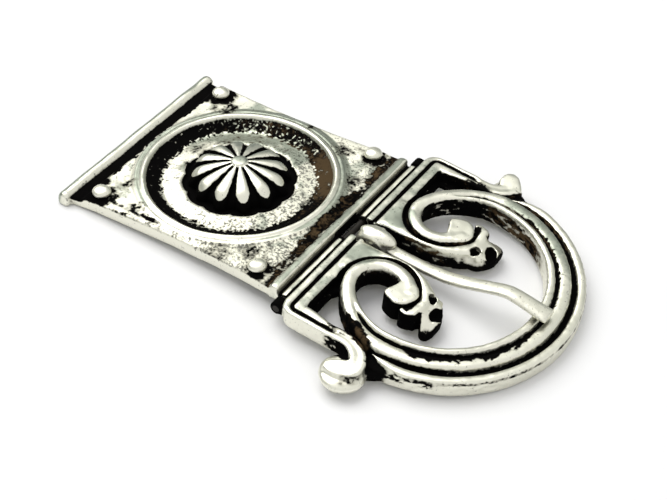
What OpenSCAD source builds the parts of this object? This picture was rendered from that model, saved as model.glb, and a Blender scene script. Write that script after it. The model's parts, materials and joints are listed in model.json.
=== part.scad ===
/* [Belt plate] */
// Distance from the rosette's centre to the back end of the plate
plate_back = 23; // [21:0.5:26]
// Distance from the rosette's centre to the hinge pin
plate_front = 22.8; // [22:0.1:26]
// Half width of the plate at its ends
plate_half = 20; // [19.5:0.1:22]
// How much each long side draws in at the middle
plate_waist = 1; // [0:0.1:1.2]
// Thickness of the plate
plate_t = 2.4; // [2:0.1:3]
// Height and half depth of the rounded rib at the back end
rib_r = 1.15; // [1:0.05:1.4]
// How far the rib stands out past the plate's sides
rib_overhang = 0.9; // [0:0.1:2]
// Radius of the moulded ring's crest
ring_r = 16.9; // [16.5:0.1:17.4]
// Radius of the sunken floor round the rosette
dish_r = 13.2; // [12:0.1:14]
// Depth of the sunken floor
dish_depth = 0.75; // [0.4:0.05:1]
// Radius of the rosette at its foot
rosette_r = 8.8; // [8:0.1:9.2]
// Height of the rosette's button over the plate's face
rosette_h = 3.5; // [2.5:0.1:4]
// Number of petals
petals = 12; // [8:1:16]

/* [Rivets] */
// Distance of the back pair from the rosette's centre, along the plate
rivet_back_x = 16.3; // [15:0.1:17]
// Distance of the front pair from the rosette's centre, along the plate
rivet_front_x = 15.9; // [15:0.1:17]
// Distance of the back pair from the middle line
rivet_back_y = 16.9; // [16.8:0.1:17.6]
// Distance of the front pair from the middle line
rivet_front_y = 17.4; // [16.8:0.1:17.6]
// Diameter of a rivet's head
rivet_head_d = 3.2; // [2.8:0.1:3.4]
// Height of a rivet's head
rivet_head_h = 0.9; // [0.6:0.1:1.2]
// Diameter of a rivet's shank
rivet_d = 2; // [1.6:0.1:2.2]

/* [Buckle loop] */
// Distance from the rosette's centre to the centre of the D-shaped bow
bow_x = 40.5; // [40:0.1:41]
// Outer half width of the bow
bow_half = 24.3; // [24:0.1:25]
// Length of the bow's oval over its width
bow_ratio = 0.935; // [0.93:0.005:1]
// Thickness of the loop under its top face
loop_t = 3.2; // [3:0.1:3.6]
// Half width of the rectangular frame
frame_half = 23.5; // [23.2:0.1:24]
// Centre of a volute, along the buckle
volute_x = 34.05; // [33.8:0.05:34.3]
// Centre of a volute, from the middle line
volute_y = 9.9; // [9.8:0.05:10.1]
// Radius of the middle of a volute's band
volute_r = 4.75; // [4.6:0.05:4.8]
// Width of a volute's band
volute_w = 2.4; // [2.2:0.05:2.5]

/* [Hinges] */
// Diameter of the hinge pin
pin_d = 1.2; // [1:0.1:1.3]
// Radial clearance of the turning fits
fit_gap = 0.06; // [0.03:0.01:0.1]
// Outer radius of the plate's hinge barrel
barrel_r = 1.05; // [0.95:0.05:1.1]
// Distance from the rosette's centre to the bar that carries the tongue
bar_x = 27.2; // [27.2:0.1:28]
// Diameter of that bar
bar_d = 2.5; // [2.2:0.1:2.6]

/* [Tongue] */
// Outer radius of the tongue's eye
eye_r = 3.2; // [2.9:0.05:3.3]
// Width of the tongue's eye
eye_w = 3.4; // [3:0.1:3.6]
// Width of the tongue at its knee
shaft_w = 2.8; // [2.4:0.1:3]
// Width of the tongue at its tip
tip_w = 3.5; // [2.8:0.1:3.8]
// Thickness of the tongue's shaft
shaft_t = 1.4; // [1.2:0.1:1.8]

/* [Hidden] */
$fn = 64;
cut = 0.5;                               // how far a cutter runs past a face
silver = [0.80, 0.79, 0.74];
dark_silver = [0.32, 0.31, 0.29];

// Heights: the plate's top face and the loop's top face are each zero in their own frame
plate_pin_z = -1.6;
loop_pin_z = -2.2;
bar_z = -1.9;

// Plate
border_front = plate_front - 1.3;        // front face of the border bar
border_back = border_front - 1.3;
border_top = 0.35;
channel_back = -plate_back + 2 * rib_r;  // the dark channel behind the rib
channel_front = channel_back + 2.4;
channel_depth = 0.7;
ring_foot_r = ring_r + 1.7;
ring_top = 0.75;
groove_r = rosette_r + 0.8;              // outer edge of the groove round the rosette
groove_depth = dish_depth + 0.45;
rivet_hole_gap = 0.04;
button_r = 1.4;                          // button in the middle of the rosette
button_h = 0.35;
petal_gap = 0.8;                         // width and depth of a slot between petals
petal_turn = 25;
slot_half = 2.4;                         // half width of the tongue's slot
barrel_inner = slot_half + 0.4;
barrel_outer = plate_half - 0.2;

// Loop
face_x = plate_front + 1.3;              // back face of the loop's base bar
base_end = face_x + 0.9;
inner_start = base_end + 0.6;            // the engraved line lies between the two bands
inner_end = inner_start + 0.9;
line_depth = 0.6;
lug_r = 1.15;
lug_inner = plate_half + 0.25;
lug_outer = lug_inner + 2;
neck_half = slot_half + 0.1;             // inner edge of a neck, from the middle line
ridge_top = 1.0;
mid_top = 0.6;
outer_top = 0.1;
inner_ridge = [bow_half - 6.6, bow_half - 5.5];
mid_ridge = [bow_half - 4.9, bow_half - 2.7];
outer_ridge = [bow_half - 1.7, bow_half];
bow_floor = -0.7;
bow_sweep = 85;                          // the outer ridge runs this far each side of the axis
inner_ratio = 0.905;                     // the opening's oval is a little shorter than the bow's
bow_end_x = bow_x + bow_half * bow_ratio;
knob_at = [38.7, 26.8];
knob_r = 3.4;
blob_r = 2.15;

// The loop rests on the far end of its bow and on the tongue's eye
reach = bow_end_x - bar_x;
rise = bar_z + loop_t;
loop_tilt = asin(eye_r / norm([reach, rise])) - atan2(rise, reach);
pin_height = (loop_pin_z + loop_t) * cos(loop_tilt) + (bow_end_x - plate_front) * sin(loop_tilt);
// The plate rests on its back edge and on the hinge pin
plate_reach = plate_front + plate_back;
plate_drop = plate_pin_z + plate_t;
plate_tilt = asin(pin_height / norm([plate_reach, plate_drop])) - atan2(plate_drop, plate_reach);
// The origin lies under the middle of the whole buckle
back_x = -(plate_reach - rib_r) * cos(plate_tilt) - (-rib_r - plate_pin_z) * sin(plate_tilt) - rib_r;
front_x = (bow_end_x - plate_front) * cos(loop_tilt) + (bow_floor - loop_pin_z) * sin(loop_tilt);
pin_world_x = -(back_x + front_x) / 2;

module on_plate()
    translate([pin_world_x, 0, pin_height])
        rotate([0, -plate_tilt, 0])
            translate([-plate_front, 0, -plate_pin_z])
                children();

module on_loop()
    translate([pin_world_x, 0, pin_height])
        rotate([0, loop_tilt, 0])
            translate([-plate_front, 0, -loop_pin_z])
                children();

module both_sides() {
    children();
    mirror([0, 1, 0]) children();
}

module rod(x, z, r, y0, y1)
    translate([x, y1, z])
        rotate([90, 0, 0])
            cylinder(r = r, h = y1 - y0);

module block(x0, x1, y0, y1, z0, z1)
    translate([x0, y0, z0])
        cube([x1 - x0, y1 - y0, z1 - z0]);

module slab(z0, z1)
    translate([0, 0, z0])
        linear_extrude(z1 - z0)
            children();

// Belt plate: slab with drawn-in sides, back rib, moulded ring, dish, rosette and hinge barrel
function side_y(x) = plate_half - plate_waist * (1 - pow(x / plate_front, 2));

module plate_outline() {
    side = [for (i = [0:10]) let (x = channel_back - 0.6 + (border_front - channel_back + 0.6) * i / 10)
            [x, side_y(x)]];
    polygon(concat(side, [for (i = [10:-1:0]) [side[i][0], -side[i][1]]]));
}

module ring_moulding()
    rotate_extrude()
        polygon(concat(
            [[ring_r - 1.1, -cut], [ring_foot_r, -cut], [ring_foot_r, 0]],
            [for (a = [30:30:150]) [ring_r + 0.2 + 1.1 * cos(a), 0.15 + (ring_top - 0.15) * sin(a)]],
            [[ring_r - 1.1, 0]]));

module dish_cut()
    rotate_extrude()
        polygon([[0, cut], [ring_r - 0.8, cut], [ring_r - 0.8, 0], [dish_r, -dish_depth],
                 [groove_r, -dish_depth], [groove_r - 0.4, -groove_depth], [0, -groove_depth]]);

// Rosette: a cap of a ball, cut into petals by slots that follow its curve
module rosette() {
    dome_h = rosette_h - button_h + groove_depth;
    ball_r = (pow(rosette_r, 2) + pow(dome_h, 2)) / (2 * dome_h);
    ball_z = dome_h - groove_depth - ball_r;
    difference() {
        intersection() {
            translate([0, 0, ball_z]) sphere(r = ball_r);
            translate([0, 0, -groove_depth - 0.1]) cylinder(r = rosette_r + cut, h = dome_h + cut);
        }
        for (k = [0:petals - 1])
            translate([0, 0, ball_z])
                rotate([90, 0, petal_turn + k * 360 / petals])
                    translate([0, 0, -petal_gap / 2])
                        linear_extrude(petal_gap)
                            polygon(concat([for (t = [6:8:62]) (ball_r - petal_gap) * [sin(t), cos(t)]],
                                           [for (t = [62, 6]) (ball_r + 2) * [sin(t), cos(t)]]));
    }
    translate([0, 0, rosette_h - 1])
        cylinder(r = button_r, h = 1);
}

module back_rib()
    both_sides() {
        rod(-plate_back + rib_r, -rib_r, rib_r, 0, plate_half + rib_overhang);
        block(-plate_back, -plate_back + 2 * rib_r, 0, plate_half + rib_overhang - 0.4, -plate_t, -rib_r);
    }

module belt_plate()
    color(silver)
        on_plate()
            difference() {
                union() {
                    difference() {
                        union() {
                            slab(-plate_t, 0) plate_outline();
                            ring_moulding();
                        }
                        dish_cut();
                        block(channel_back, channel_front, -plate_half - cut, plate_half + cut,
                              -channel_depth, cut);
                    }
                    rosette();
                    back_rib();
                    block(border_back, border_front, -barrel_outer, barrel_outer, -1, border_top);
                    both_sides() {
                        rod(plate_front, plate_pin_z, barrel_r, barrel_inner, barrel_outer);
                        block(border_front - cut, plate_front, barrel_inner, barrel_outer,
                              -plate_t, plate_pin_z + 0.4);
                    }
                }
                rod(plate_front, plate_pin_z, pin_d / 2 + fit_gap, -plate_half - cut, plate_half + cut);
                for (at = [[-rivet_back_x, rivet_back_y], [rivet_front_x, rivet_front_y]], side = [-1, 1])
                    translate([at[0], side * at[1], -plate_t - cut])
                        cylinder(d = rivet_d + 2 * rivet_hole_gap, h = plate_t + 2 * cut);
            }

// A rivet: domed head on the face and a plain shank that ends flush with the back
module rivet(x, y) {
    dome_r = (pow(rivet_head_d / 2, 2) + pow(rivet_head_h, 2)) / (2 * rivet_head_h);
    color(silver)
        on_plate()
            translate([x, y, 0]) {
                translate([0, 0, -plate_t])
                    cylinder(d = rivet_d, h = plate_t + 0.2);
                intersection() {
                    translate([0, 0, rivet_head_h - dome_r])
                        sphere(r = dome_r);
                    translate([0, 0, 0.03])
                        cylinder(d = rivet_head_d + 1, h = rivet_head_h + cut);
                }
            }
}

module rivet_back_left() rivet(-rivet_back_x, rivet_back_y);
module rivet_back_right() rivet(-rivet_back_x, -rivet_back_y);
module rivet_front_left() rivet(rivet_front_x, rivet_front_y);
module rivet_front_right() rivet(rivet_front_x, -rivet_front_y);

// The pin is fixed in the loop's two lugs and turns in the plate's barrel
module hinge_pin()
    color(dark_silver)
        on_loop()
            rod(plate_front, loop_pin_z, pin_d / 2, -lug_outer, lug_outer);

// Buckle loop: every outline is drawn for the left side and mirrored
function bow_length(k) = k > inner_ridge[0] ? bow_ratio : inner_ratio;
function on_bow(k, a) = [bow_x + k * bow_length(k) * cos(a), k * sin(a)];

module bow_band(k, sweep)
    polygon(concat([for (a = [-sweep:5:sweep]) on_bow(k[1], a)],
                   [for (a = [sweep:-5:-sweep]) on_bow(k[0], a)]));

// Middle line of the scroll band, from the top of the bow into the volute
function bezier(p, t) = pow(1 - t, 3) * p[0] + 3 * t * pow(1 - t, 2) * p[1]
                        + 3 * t * t * (1 - t) * p[2] + pow(t, 3) * p[3];
band_start = (inner_ridge[0] + mid_ridge[1]) / 2;
shoulder = [[bow_x, band_start], [bow_x - 5.2, band_start],
            [volute_x - volute_r, volute_y + 4.3], [volute_x - volute_r, volute_y]];
scroll = concat([for (i = [0:12]) bezier(shoulder, i / 12)],
                [for (a = [195:15:345]) [volute_x + volute_r * cos(a), volute_y + volute_r * sin(a)]]);
function scroll_half(i) = i <= 12 ? volute_w / 2 + ((mid_ridge[1] - inner_ridge[0]) - volute_w) / 2
                                    * pow(1 - i / 12, 2) : volute_w / 2;
function heading(p, i) = let (d = p[min(i + 1, len(p) - 1)] - p[max(i - 1, 0)]) d / norm(d);
function beside(p, i, w) = let (h = heading(p, i)) p[i] + w * [-h[1], h[0]];

module scroll_band(trim) {
    n = len(scroll) - 1;
    polygon(concat([for (i = [0:n]) beside(scroll, i, scroll_half(i) - trim)],
                   [for (i = [n:-1:0]) beside(scroll, i, trim - scroll_half(i))]));
}

module volute_blob(trim)
    translate([volute_x + volute_r - 0.2, volute_y + 0.2])
        circle(r = blob_r - trim);

// Arm of the frame: it leaves the corner, swings outwards and curls into a knob
arm_w = 2.5;
arm = concat([for (x = [base_end:2:33]) [x, frame_half - arm_w / 2]],
             [for (i = [0:8]) bezier([[33.5, frame_half - arm_w / 2], [37.5, frame_half - arm_w / 2],
                                      [40.4, 24], [40.1, 26.6]], i / 8)]);

module arm_outline() {
    n = len(arm) - 1;
    polygon(concat([for (i = [0:n]) beside(arm, i, arm_w / 2 * (1 - 0.1 * i / n))],
                   [for (i = [n:-1:0]) beside(arm, i, -arm_w / 2 * (1 - 0.1 * i / n))]));
}

// The knob bulges at its foot and its top droops outwards
module knob()
    translate(knob_at)
        rotate_extrude()
            polygon([[0, -loop_t], [0.84 * knob_r, -loop_t], [0.96 * knob_r, -2.6], [knob_r, -2],
                     [0.94 * knob_r, -1.4], [0.76 * knob_r, -0.8], [0.5 * knob_r, -0.4], [0, -0.3]]);

// Neck and head of the beast that lies round the volute
head_round = [volute_x, 14.7];
head_r = 12.2;
head_tip_y = 12.6;
head_top = 0.6;
muzzle_x = 41.5;
muzzle_droop = 20;

module neck_and_head()
    difference() {
        intersection() {
            union() {
                polygon([[inner_start, neck_half], [volute_x, neck_half], [volute_x, volute_y],
                         [inner_end, volute_y]]);
                intersection() {
                    translate(head_round) circle(r = head_r);
                    translate([volute_x - 0.5, 0]) square([20, volute_y + 4]);
                }
            }
            translate([inner_start, neck_half]) square([30, head_tip_y - neck_half]);
        }
        translate([volute_x, volute_y]) circle(r = volute_r + volute_w / 2 + 0.35);
        translate([42.3, 10.3]) rotate(8) translate([-0.5, 0]) square([1, 5]);
        translate([volute_x + volute_r - 0.2, volute_y + 0.2]) circle(r = blob_r + 0.4);
    }

module frame_bars() {
    translate([face_x, slot_half]) square([inner_end - face_x, frame_half - slot_half]);
}

module engraved_line() {
    translate([base_end, slot_half - cut])
        square([0.6, frame_half - 1.2 - slot_half + cut]);
    translate([base_end, frame_half - 1.8])
        square([34 - base_end, 0.6]);
}

module tongue_bar()
    rod(bar_x, bar_z, bar_d / 2, -neck_half - cut, neck_half + cut);

module loop_lug()
    difference() {
        union() {
            rod(plate_front, loop_pin_z, lug_r, lug_inner, lug_outer);
            block(plate_front, face_x + 0.6, lug_inner, lug_outer, loop_pin_z - 1, loop_pin_z + lug_r - 0.2);
        }
        rod(plate_front, loop_pin_z, pin_d / 2 + 0.02, lug_inner - cut, lug_outer + cut);
    }

module left_half() {
    difference() {
        union() {
            slab(-loop_t, 0) {
                frame_bars();
                arm_outline();
            }
            difference() {
                slab(-loop_t, head_top) neck_and_head();
                // the muzzle droops towards its tip
                translate([muzzle_x, 0, head_top])
                    rotate([0, muzzle_droop, 0])
                        cube([12, 20, 6]);
            }
            slab(-loop_t, mid_top) {
                scroll_band(0);
                volute_blob(0);
            }
            slab(0, ridge_top) {
                scroll_band(0.55);
                volute_blob(0.55);
            }
            // low bridge that joins the knob to the bow
            slab(-loop_t, -1.4) polygon([[40.4, 21], [44, 21], [44, 23.4], [40.9, 25.6], [39.4, 24.4]]);
        }
        slab(-line_depth, cut) engraved_line();
        // two drilled hollows on the beast's brow
        translate([42.4, 7, -0.4]) cylinder(r = 0.75, h = 3);
        translate([44.4, 8.5, -0.6]) cylinder(r = 1, h = 3);
    }
    knob();
    loop_lug();
}

module bow() {
    slab(-loop_t, bow_floor) bow_band([inner_ridge[0], outer_ridge[1]], bow_sweep);
    slab(-loop_t, mid_top) bow_band([inner_ridge[0], mid_ridge[1]], 90);
    slab(bow_floor - cut, outer_top) bow_band([outer_ridge[0], outer_ridge[1] - 0.5], bow_sweep);
    slab(0, ridge_top) bow_band(inner_ridge, 90);
}

module buckle_loop()
    color(silver)
        on_loop() {
            both_sides() left_half();
            difference() {
                bow();
                slab(0.1, 2 * cut) bow_band([inner_ridge[1], mid_ridge[0]], 90);
            }
            tongue_bar();
        }

// Tongue: an eye round the bar, a shaft that dips, rises to a knee and lies on the bow
knee_x = 52;
tip_x = 59.3;
// along, height of the top face
tongue_top = [[bar_x + 2, -0.3], [31.5, -0.8], [37.5, -0.75], [41, -0.35], [44, 0.45], [knee_x - 1.5, 2.9],
              [knee_x, 3.3], [knee_x + 1.5, 3.2], [tip_x - 0.6, 2.5], [tip_x, 1.9]];
// along, middle line, half width
tongue_plan = [[bar_x, -0.3, shaft_w / 2 - 0.2], [34, -0.25, shaft_w / 2 - 0.2], [44, -0.1, shaft_w / 2 - 0.05],
               [knee_x, 0, shaft_w / 2], [tip_x, 0, tip_w / 2]];

module tongue_side() {
    n = len(tongue_top) - 1;
    polygon(concat(tongue_top, [for (i = [n:-1:0]) tongue_top[i] - [0, i == n ? shaft_t - 0.6 : shaft_t]]));
}

module tongue_outline() {
    n = len(tongue_plan) - 1;
    polygon(concat([for (row = tongue_plan) [row[0], row[1] + row[2]]],
                   [for (i = [n:-1:0]) [tongue_plan[i][0], tongue_plan[i][1] - tongue_plan[i][2]]]));
}

// The eye is rounded across, like a fat ring
module tongue_eye()
    translate([bar_x, tongue_plan[0][1], bar_z])
        rotate([90, 0, 0])
            rotate_extrude()
                polygon(concat([[0, eye_w / 2]],
                               [for (a = [60:-20:-60]) [eye_r - 1.2 * (1 - cos(a)), eye_w / 2 * sin(a) / sin(60)]],
                               [[0, -eye_w / 2]]));

module tongue()
    color(silver)
        on_loop()
            difference() {
                union() {
                    tongue_eye();
                    intersection() {
                        translate([0, tip_w, 0])
                            rotate([90, 0, 0])
                                linear_extrude(2 * tip_w)
                                    tongue_side();
                        slab(-loop_t, 5) tongue_outline();
                    }
                }
                rod(bar_x, bar_z, bar_d / 2 + fit_gap, -eye_w, eye_w);
            }

belt_plate();
rivet_back_left();
rivet_back_right();
rivet_front_left();
rivet_front_right();
hinge_pin();
buckle_loop();
tongue();
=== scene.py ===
"""Cast belt buckle with a rosette plate and a hinged scroll loop: its detail and its finish."""
import json
import math

import bmesh
import bpy
import numpy as np
from bpy.props import FloatProperty, FloatVectorProperty, IntProperty, PointerProperty
from mathutils import Matrix, Vector, noise
from mathutils.bvhtree import BVHTree


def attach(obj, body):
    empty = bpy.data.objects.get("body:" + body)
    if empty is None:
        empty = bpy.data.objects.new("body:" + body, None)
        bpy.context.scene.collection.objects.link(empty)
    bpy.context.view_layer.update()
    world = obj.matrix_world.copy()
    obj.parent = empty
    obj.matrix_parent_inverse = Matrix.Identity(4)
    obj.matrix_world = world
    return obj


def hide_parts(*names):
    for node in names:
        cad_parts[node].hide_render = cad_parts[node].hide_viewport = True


bl_info = {
    "name": "Scroll Belt Buckle",
    "version": (1, 0, 0),
    "blender": (4, 5, 0),
    "location": "View3D > Sidebar > Buckle",
    "description": "Models a cast belt buckle with a rosette plate and a hinged scroll loop",
    "category": "Add Mesh",
}

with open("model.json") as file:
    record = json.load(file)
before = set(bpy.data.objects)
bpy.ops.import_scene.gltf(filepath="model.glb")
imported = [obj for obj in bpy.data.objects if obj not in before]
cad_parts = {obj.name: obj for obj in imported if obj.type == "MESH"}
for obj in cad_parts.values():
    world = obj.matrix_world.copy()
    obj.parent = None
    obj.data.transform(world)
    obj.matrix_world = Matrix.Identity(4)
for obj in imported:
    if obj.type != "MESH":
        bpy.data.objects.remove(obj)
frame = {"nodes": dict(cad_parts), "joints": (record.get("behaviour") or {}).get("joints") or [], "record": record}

MM = 0.001
JOINT_AT = {joint["name"]: Vector(joint["pos_m"]) for joint in frame["joints"]}
BACK_FACE = next(face for face in frame["record"]["mounts"] if face["name"] == "back_face")


# Sizes and colours

def length(name, description, default):
    """A size property in millimetres."""
    return FloatProperty(name=name, description=description + ", in millimetres", default=default, min=0)


def colour(name, description, default):
    """A colour property."""
    return FloatVectorProperty(name=name, description=description, default=default, subtype="COLOR",
                               size=3, min=0, max=1)


class PlateSizes(bpy.types.PropertyGroup):
    """Sizes of the belt plate, from the rosette's centre and the plate's top face."""
    back: length("Back", "Distance from the rosette's centre to the back end", 23.0)
    front: length("Front", "Distance from the rosette's centre to the hinge pin", 22.8)
    half: length("Half width", "Half width of the plate at its ends", 20.0)
    waist: length("Waist", "How much each long side draws in at the middle", 1.0)
    thick: length("Thickness", "Thickness of the plate", 2.4)
    rib: length("Rib", "Height and half depth of the rib at the back end", 1.15)
    rib_half: length("Rib half length", "Half length of the rib", 20.85)
    ring: length("Ring", "Radius of the moulded ring's lip", 16.5)
    dish: length("Dish", "Radius of the sunken floor", 13.2)
    groove: length("Groove", "Radius of the groove round the rosette", 9.6)
    rosette: length("Rosette", "Radius of the rosette", 8.8)
    button: length("Button", "Radius of the rosette's button", 1.4)
    petals: IntProperty(name="Petals", description="Number of petals", default=12, min=3)
    pin_drop: length("Pin drop", "Depth of the hinge pin's centre under the top face", 1.6)
    barrel: length("Barrel", "Outer radius of the hinge barrel", 1.05)
    slot_half: length("Slot", "Half width of the tongue's slot in the barrel", 2.8)
    rivet_head: length("Rivet head", "Radius of a rivet's head", 1.6)
    rivet_shank: length("Rivet shank", "Radius of a rivet's shank", 1.0)


class LoopSizes(bpy.types.PropertyGroup):
    """Sizes of the buckle loop and the tongue, from the rosette's centre and the loop's top face."""
    bow_x: length("Bow centre", "Distance from the rosette's centre to the bow's centre", 40.5)
    thick: length("Thickness", "Thickness of the loop", 3.2)
    frame_half: length("Frame", "Half width of the rectangular frame", 23.5)
    volute_x: length("Volute along", "Centre of a volute, along the buckle", 34.05)
    volute_y: length("Volute across", "Centre of a volute, from the middle line", 9.9)
    volute_r: length("Volute radius", "Radius of the middle of a volute's band", 4.75)
    volute_w: length("Volute band", "Width of a volute's band", 2.4)
    pin_drop: length("Pin drop", "Depth of the hinge pin's centre under the top face", 2.2)
    bar_x: length("Bar", "Distance from the rosette's centre to the tongue's bar", 27.2)
    bar_drop: length("Bar drop", "Depth of that bar's centre under the top face", 1.9)
    bar_r: length("Bar radius", "Radius of that bar", 1.25)
    eye_r: length("Eye", "Outer radius of the tongue's eye", 3.2)
    eye_half: length("Eye half width", "Half width of the tongue's eye", 1.7)


class Finish(bpy.types.PropertyGroup):
    """Colours and grain of the cast and blackened silver."""
    silver: colour("Silver", "Polished high places", (0.83, 0.82, 0.71))
    # painted reflection: a darker grey-green copy of the silver for faces that mirror the dim surroundings
    dull: colour("Dull silver", "Less polished flats", (0.37, 0.40, 0.335))
    patina: colour("Patina", "Black in the recesses", (0.002, 0.0018, 0.0018))
    brown: colour("Brown patina", "Thin brown in the dish", (0.066, 0.044, 0.023))
    haze: colour("Haze", "Thin tarnish over the silver", (0.16, 0.15, 0.11))
    grain: length("Grain", "Size of the skin's cells", 0.15)
    roughness: FloatProperty(name="Roughness", description="Roughness of the polished silver",
                             default=0.35, min=0, max=1)


# Placement of the two castings, taken from the frame's joints and the plate's back face

def on_plate(sizes):
    """Matrix from the plate's own millimetres to the frame's metres."""
    axis = BACK_FACE["axis"]
    tilt = math.atan2(axis[0], -axis[2])
    pin = Vector((sizes.front, 0, -sizes.pin_drop))
    return (Matrix.Translation(JOINT_AT["loop_hinge"]) @ Matrix.Rotation(-tilt, 4, "Y")
            @ Matrix.Scale(MM, 4) @ Matrix.Translation(-pin))


def on_loop(plate, sizes):
    """Matrix from the loop's own millimetres to the frame's metres."""
    pin = Vector((plate.front, 0, -sizes.pin_drop))
    bar = Vector((sizes.bar_x, 0, -sizes.bar_drop)) - pin
    seen = JOINT_AT["tongue_hinge"] - JOINT_AT["loop_hinge"]
    tilt = math.atan2(bar.z, bar.x) - math.atan2(seen.z, seen.x)
    return (Matrix.Translation(JOINT_AT["loop_hinge"]) @ Matrix.Rotation(tilt, 4, "Y")
            @ Matrix.Scale(MM, 4) @ Matrix.Translation(-pin))


# Small curve helpers

def bezier(points, t):
    """Point of a cubic curve, from its start at 0 to its end at 1."""
    a, b, c, d = (Vector(p) for p in points)
    s = 1 - t
    return a * s ** 3 + b * (3 * t * s * s) + c * (3 * t * t * s) + d * t ** 3


def smooth(low, high, value):
    """Smooth step from 0 at low to 1 at high, for numbers and arrays."""
    t = np.clip((value - low) / (high - low), 0.0, 1.0)
    return t * t * (3 - 2 * t)


def steps(start, stop, count):
    """Even steps from start to stop, both of them included."""
    return [start + (stop - start) * i / count for i in range(count + 1)]


def through(table, x):
    """Value at x on the straight lines through a table of pairs."""
    return float(np.interp(x, [row[0] for row in table], [row[1] for row in table]))


def rounded(outline):
    """Cuts the corners of a closed outline."""
    pairs = zip(outline, outline[1:] + outline[:1])
    return [(a[0] + (b[0] - a[0]) * t, a[1] + (b[1] - a[1]) * t) for a, b in pairs for t in (0.25, 0.75)]


# Closed shells that are melted into one cast skin

class Shells:
    """Closed shells in millimetres, drawn in a casting's own frame."""

    def __init__(self):
        self.bm = bmesh.new()
        self.corner = self.bm.verts.layers.int.new("corner")

    def sweep(self, section, stations, place):
        """Extrudes a section through the stations; place(corner, station) says where a corner lies."""
        first = [self.bm.verts.new(place(corner, stations[0])) for corner in section]
        for number, vert in enumerate(first):
            vert[self.corner] = number
        end = self.bm.faces.new(first)
        for station in stations[1:]:
            made = bmesh.ops.extrude_face_region(self.bm, geom=[end])["geom"]
            end = next(part for part in made if isinstance(part, bmesh.types.BMFace))
            for vert in end.verts:
                vert.co = place(section[vert[self.corner]], station)

    def turn(self, outline, centre=(0, 0, 0), closed=False, count=96, axis=(0, 0, 1)):
        """Spins an outline of (radius, height) pairs a full turn about an axis through the centre."""
        up = Vector(axis)
        side = Vector((1, 0, 0))
        middle = Vector(centre)
        verts = [self.bm.verts.new(middle + side * r + up * h) for r, h in outline]
        edges = [self.bm.edges.new(pair) for pair in zip(verts, verts[1:])]
        if closed:
            edges.append(self.bm.edges.new((verts[-1], verts[0])))
        bmesh.ops.spin(self.bm, geom=verts + edges, cent=middle, axis=up, angle=math.tau,
                       steps=count, use_merge=True)
        poles = [v for v in self.bm.verts if (v.co - middle).cross(up).length < 1e-4]
        bmesh.ops.remove_doubles(self.bm, verts=poles, dist=1e-4)

    def rod(self, x, z, radius, y0, y1):
        at = Matrix.Translation((x, (y0 + y1) / 2, z)) @ Matrix.Rotation(math.pi / 2, 4, "X")
        bmesh.ops.create_cone(self.bm, cap_ends=True, segments=40, radius1=radius, radius2=radius,
                              depth=y1 - y0, matrix=at)

    def post(self, x, y, radius, z0, z1):
        bmesh.ops.create_cone(self.bm, cap_ends=True, segments=40, radius1=radius, radius2=radius,
                              depth=z1 - z0, matrix=Matrix.Translation((x, y, (z0 + z1) / 2)))

    def block(self, low, high):
        low, high = Vector(low), Vector(high)
        at = Matrix.Translation((low + high) / 2) @ Matrix.Diagonal((*(high - low), 1))
        bmesh.ops.create_cube(self.bm, size=1, matrix=at)

    def pebble(self, at, radii, turn=0.0, lean=0.0):
        """An ellipsoid, turned about the vertical and then leaned along its length."""
        place = (Matrix.Translation(at) @ Matrix.Rotation(math.radians(turn), 4, "Z")
                 @ Matrix.Rotation(math.radians(lean), 4, "Y") @ Matrix.Diagonal((*radii, 1)))
        bmesh.ops.create_icosphere(self.bm, subdivisions=3, radius=1, matrix=place)

    def pillow(self, outline, low, top, soft=0.35):
        """A prism on an outline seen from above, with soft edges under the height that top(x, y) gives."""
        middle = Vector((sum(x for x, _ in outline), sum(y for _, y in outline))) / len(outline)
        reach = max((Vector(corner) - middle).length for corner in outline)
        # how far the outline draws in, depth under the top
        rise = [(0, None), (0, soft * 1.6), (0.06, soft * 0.75), (0.25, soft * 0.28), (0.6, soft * 0.06),
                (1.3, 0)]

        def place(corner, station):
            inset, depth = station
            spot = middle + (Vector(corner) - middle) * (1 - inset * soft / 0.35 / reach)
            return Vector((spot.x, spot.y, low if depth is None else top(spot.x, spot.y) - depth))

        self.sweep(outline, rise, place)

    def add(self, other):
        """Takes in the shells of another drawing."""
        mesh = other.mesh("part")
        self.bm.from_mesh(mesh)
        bpy.data.meshes.remove(mesh)

    def mirror(self):
        """Adds the right half of what is drawn on the left."""
        every = self.bm.verts[:] + self.bm.edges[:] + self.bm.faces[:]
        copies = bmesh.ops.duplicate(self.bm, geom=every)["geom"]
        verts = [part for part in copies if isinstance(part, bmesh.types.BMVert)]
        bmesh.ops.scale(self.bm, vec=(1, -1, 1), verts=verts)

    def mesh(self, name):
        bmesh.ops.recalc_face_normals(self.bm, faces=self.bm.faces)
        made = bpy.data.meshes.new(name)
        self.bm.to_mesh(made)
        self.bm.free()
        return made


def linked(name, mesh):
    obj = bpy.data.objects.new(name, mesh)
    bpy.context.scene.collection.objects.link(obj)
    return obj


def applied(obj):
    """Replaces an object's mesh with its modified one and drops the modifiers."""
    made = bpy.data.meshes.new_from_object(obj.evaluated_get(bpy.context.evaluated_depsgraph_get()))
    obj.modifiers.clear()
    obj.data = made


def voxels(obj, size):
    remesh = obj.modifiers.new("melt", "REMESH")
    remesh.mode = "VOXEL"
    remesh.voxel_size = size


def melt(name, shells, grain, cutter=None):
    """Melts overlapping shells into one skin, cuts it, and returns the object in millimetres."""
    obj = linked(name, shells.mesh(name))
    voxels(obj, grain)
    knife = None
    if cutter:
        knife = linked(name + "_cutter", cutter.mesh(name + "_cutter"))
        carve = obj.modifiers.new("carve", "BOOLEAN")
        carve.operation = "DIFFERENCE"
        carve.solver = "MANIFOLD"
        carve.object = knife
        voxels(obj, grain)
    applied(obj)
    if knife:
        bpy.data.objects.remove(knife)
    return obj


# Arrays over a mesh's points

# turn from one ray to the next, which spreads them evenly, and their start over the skin
GOLDEN_ANGLE = 2.39996
OFF_SKIN = 0.02
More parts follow.
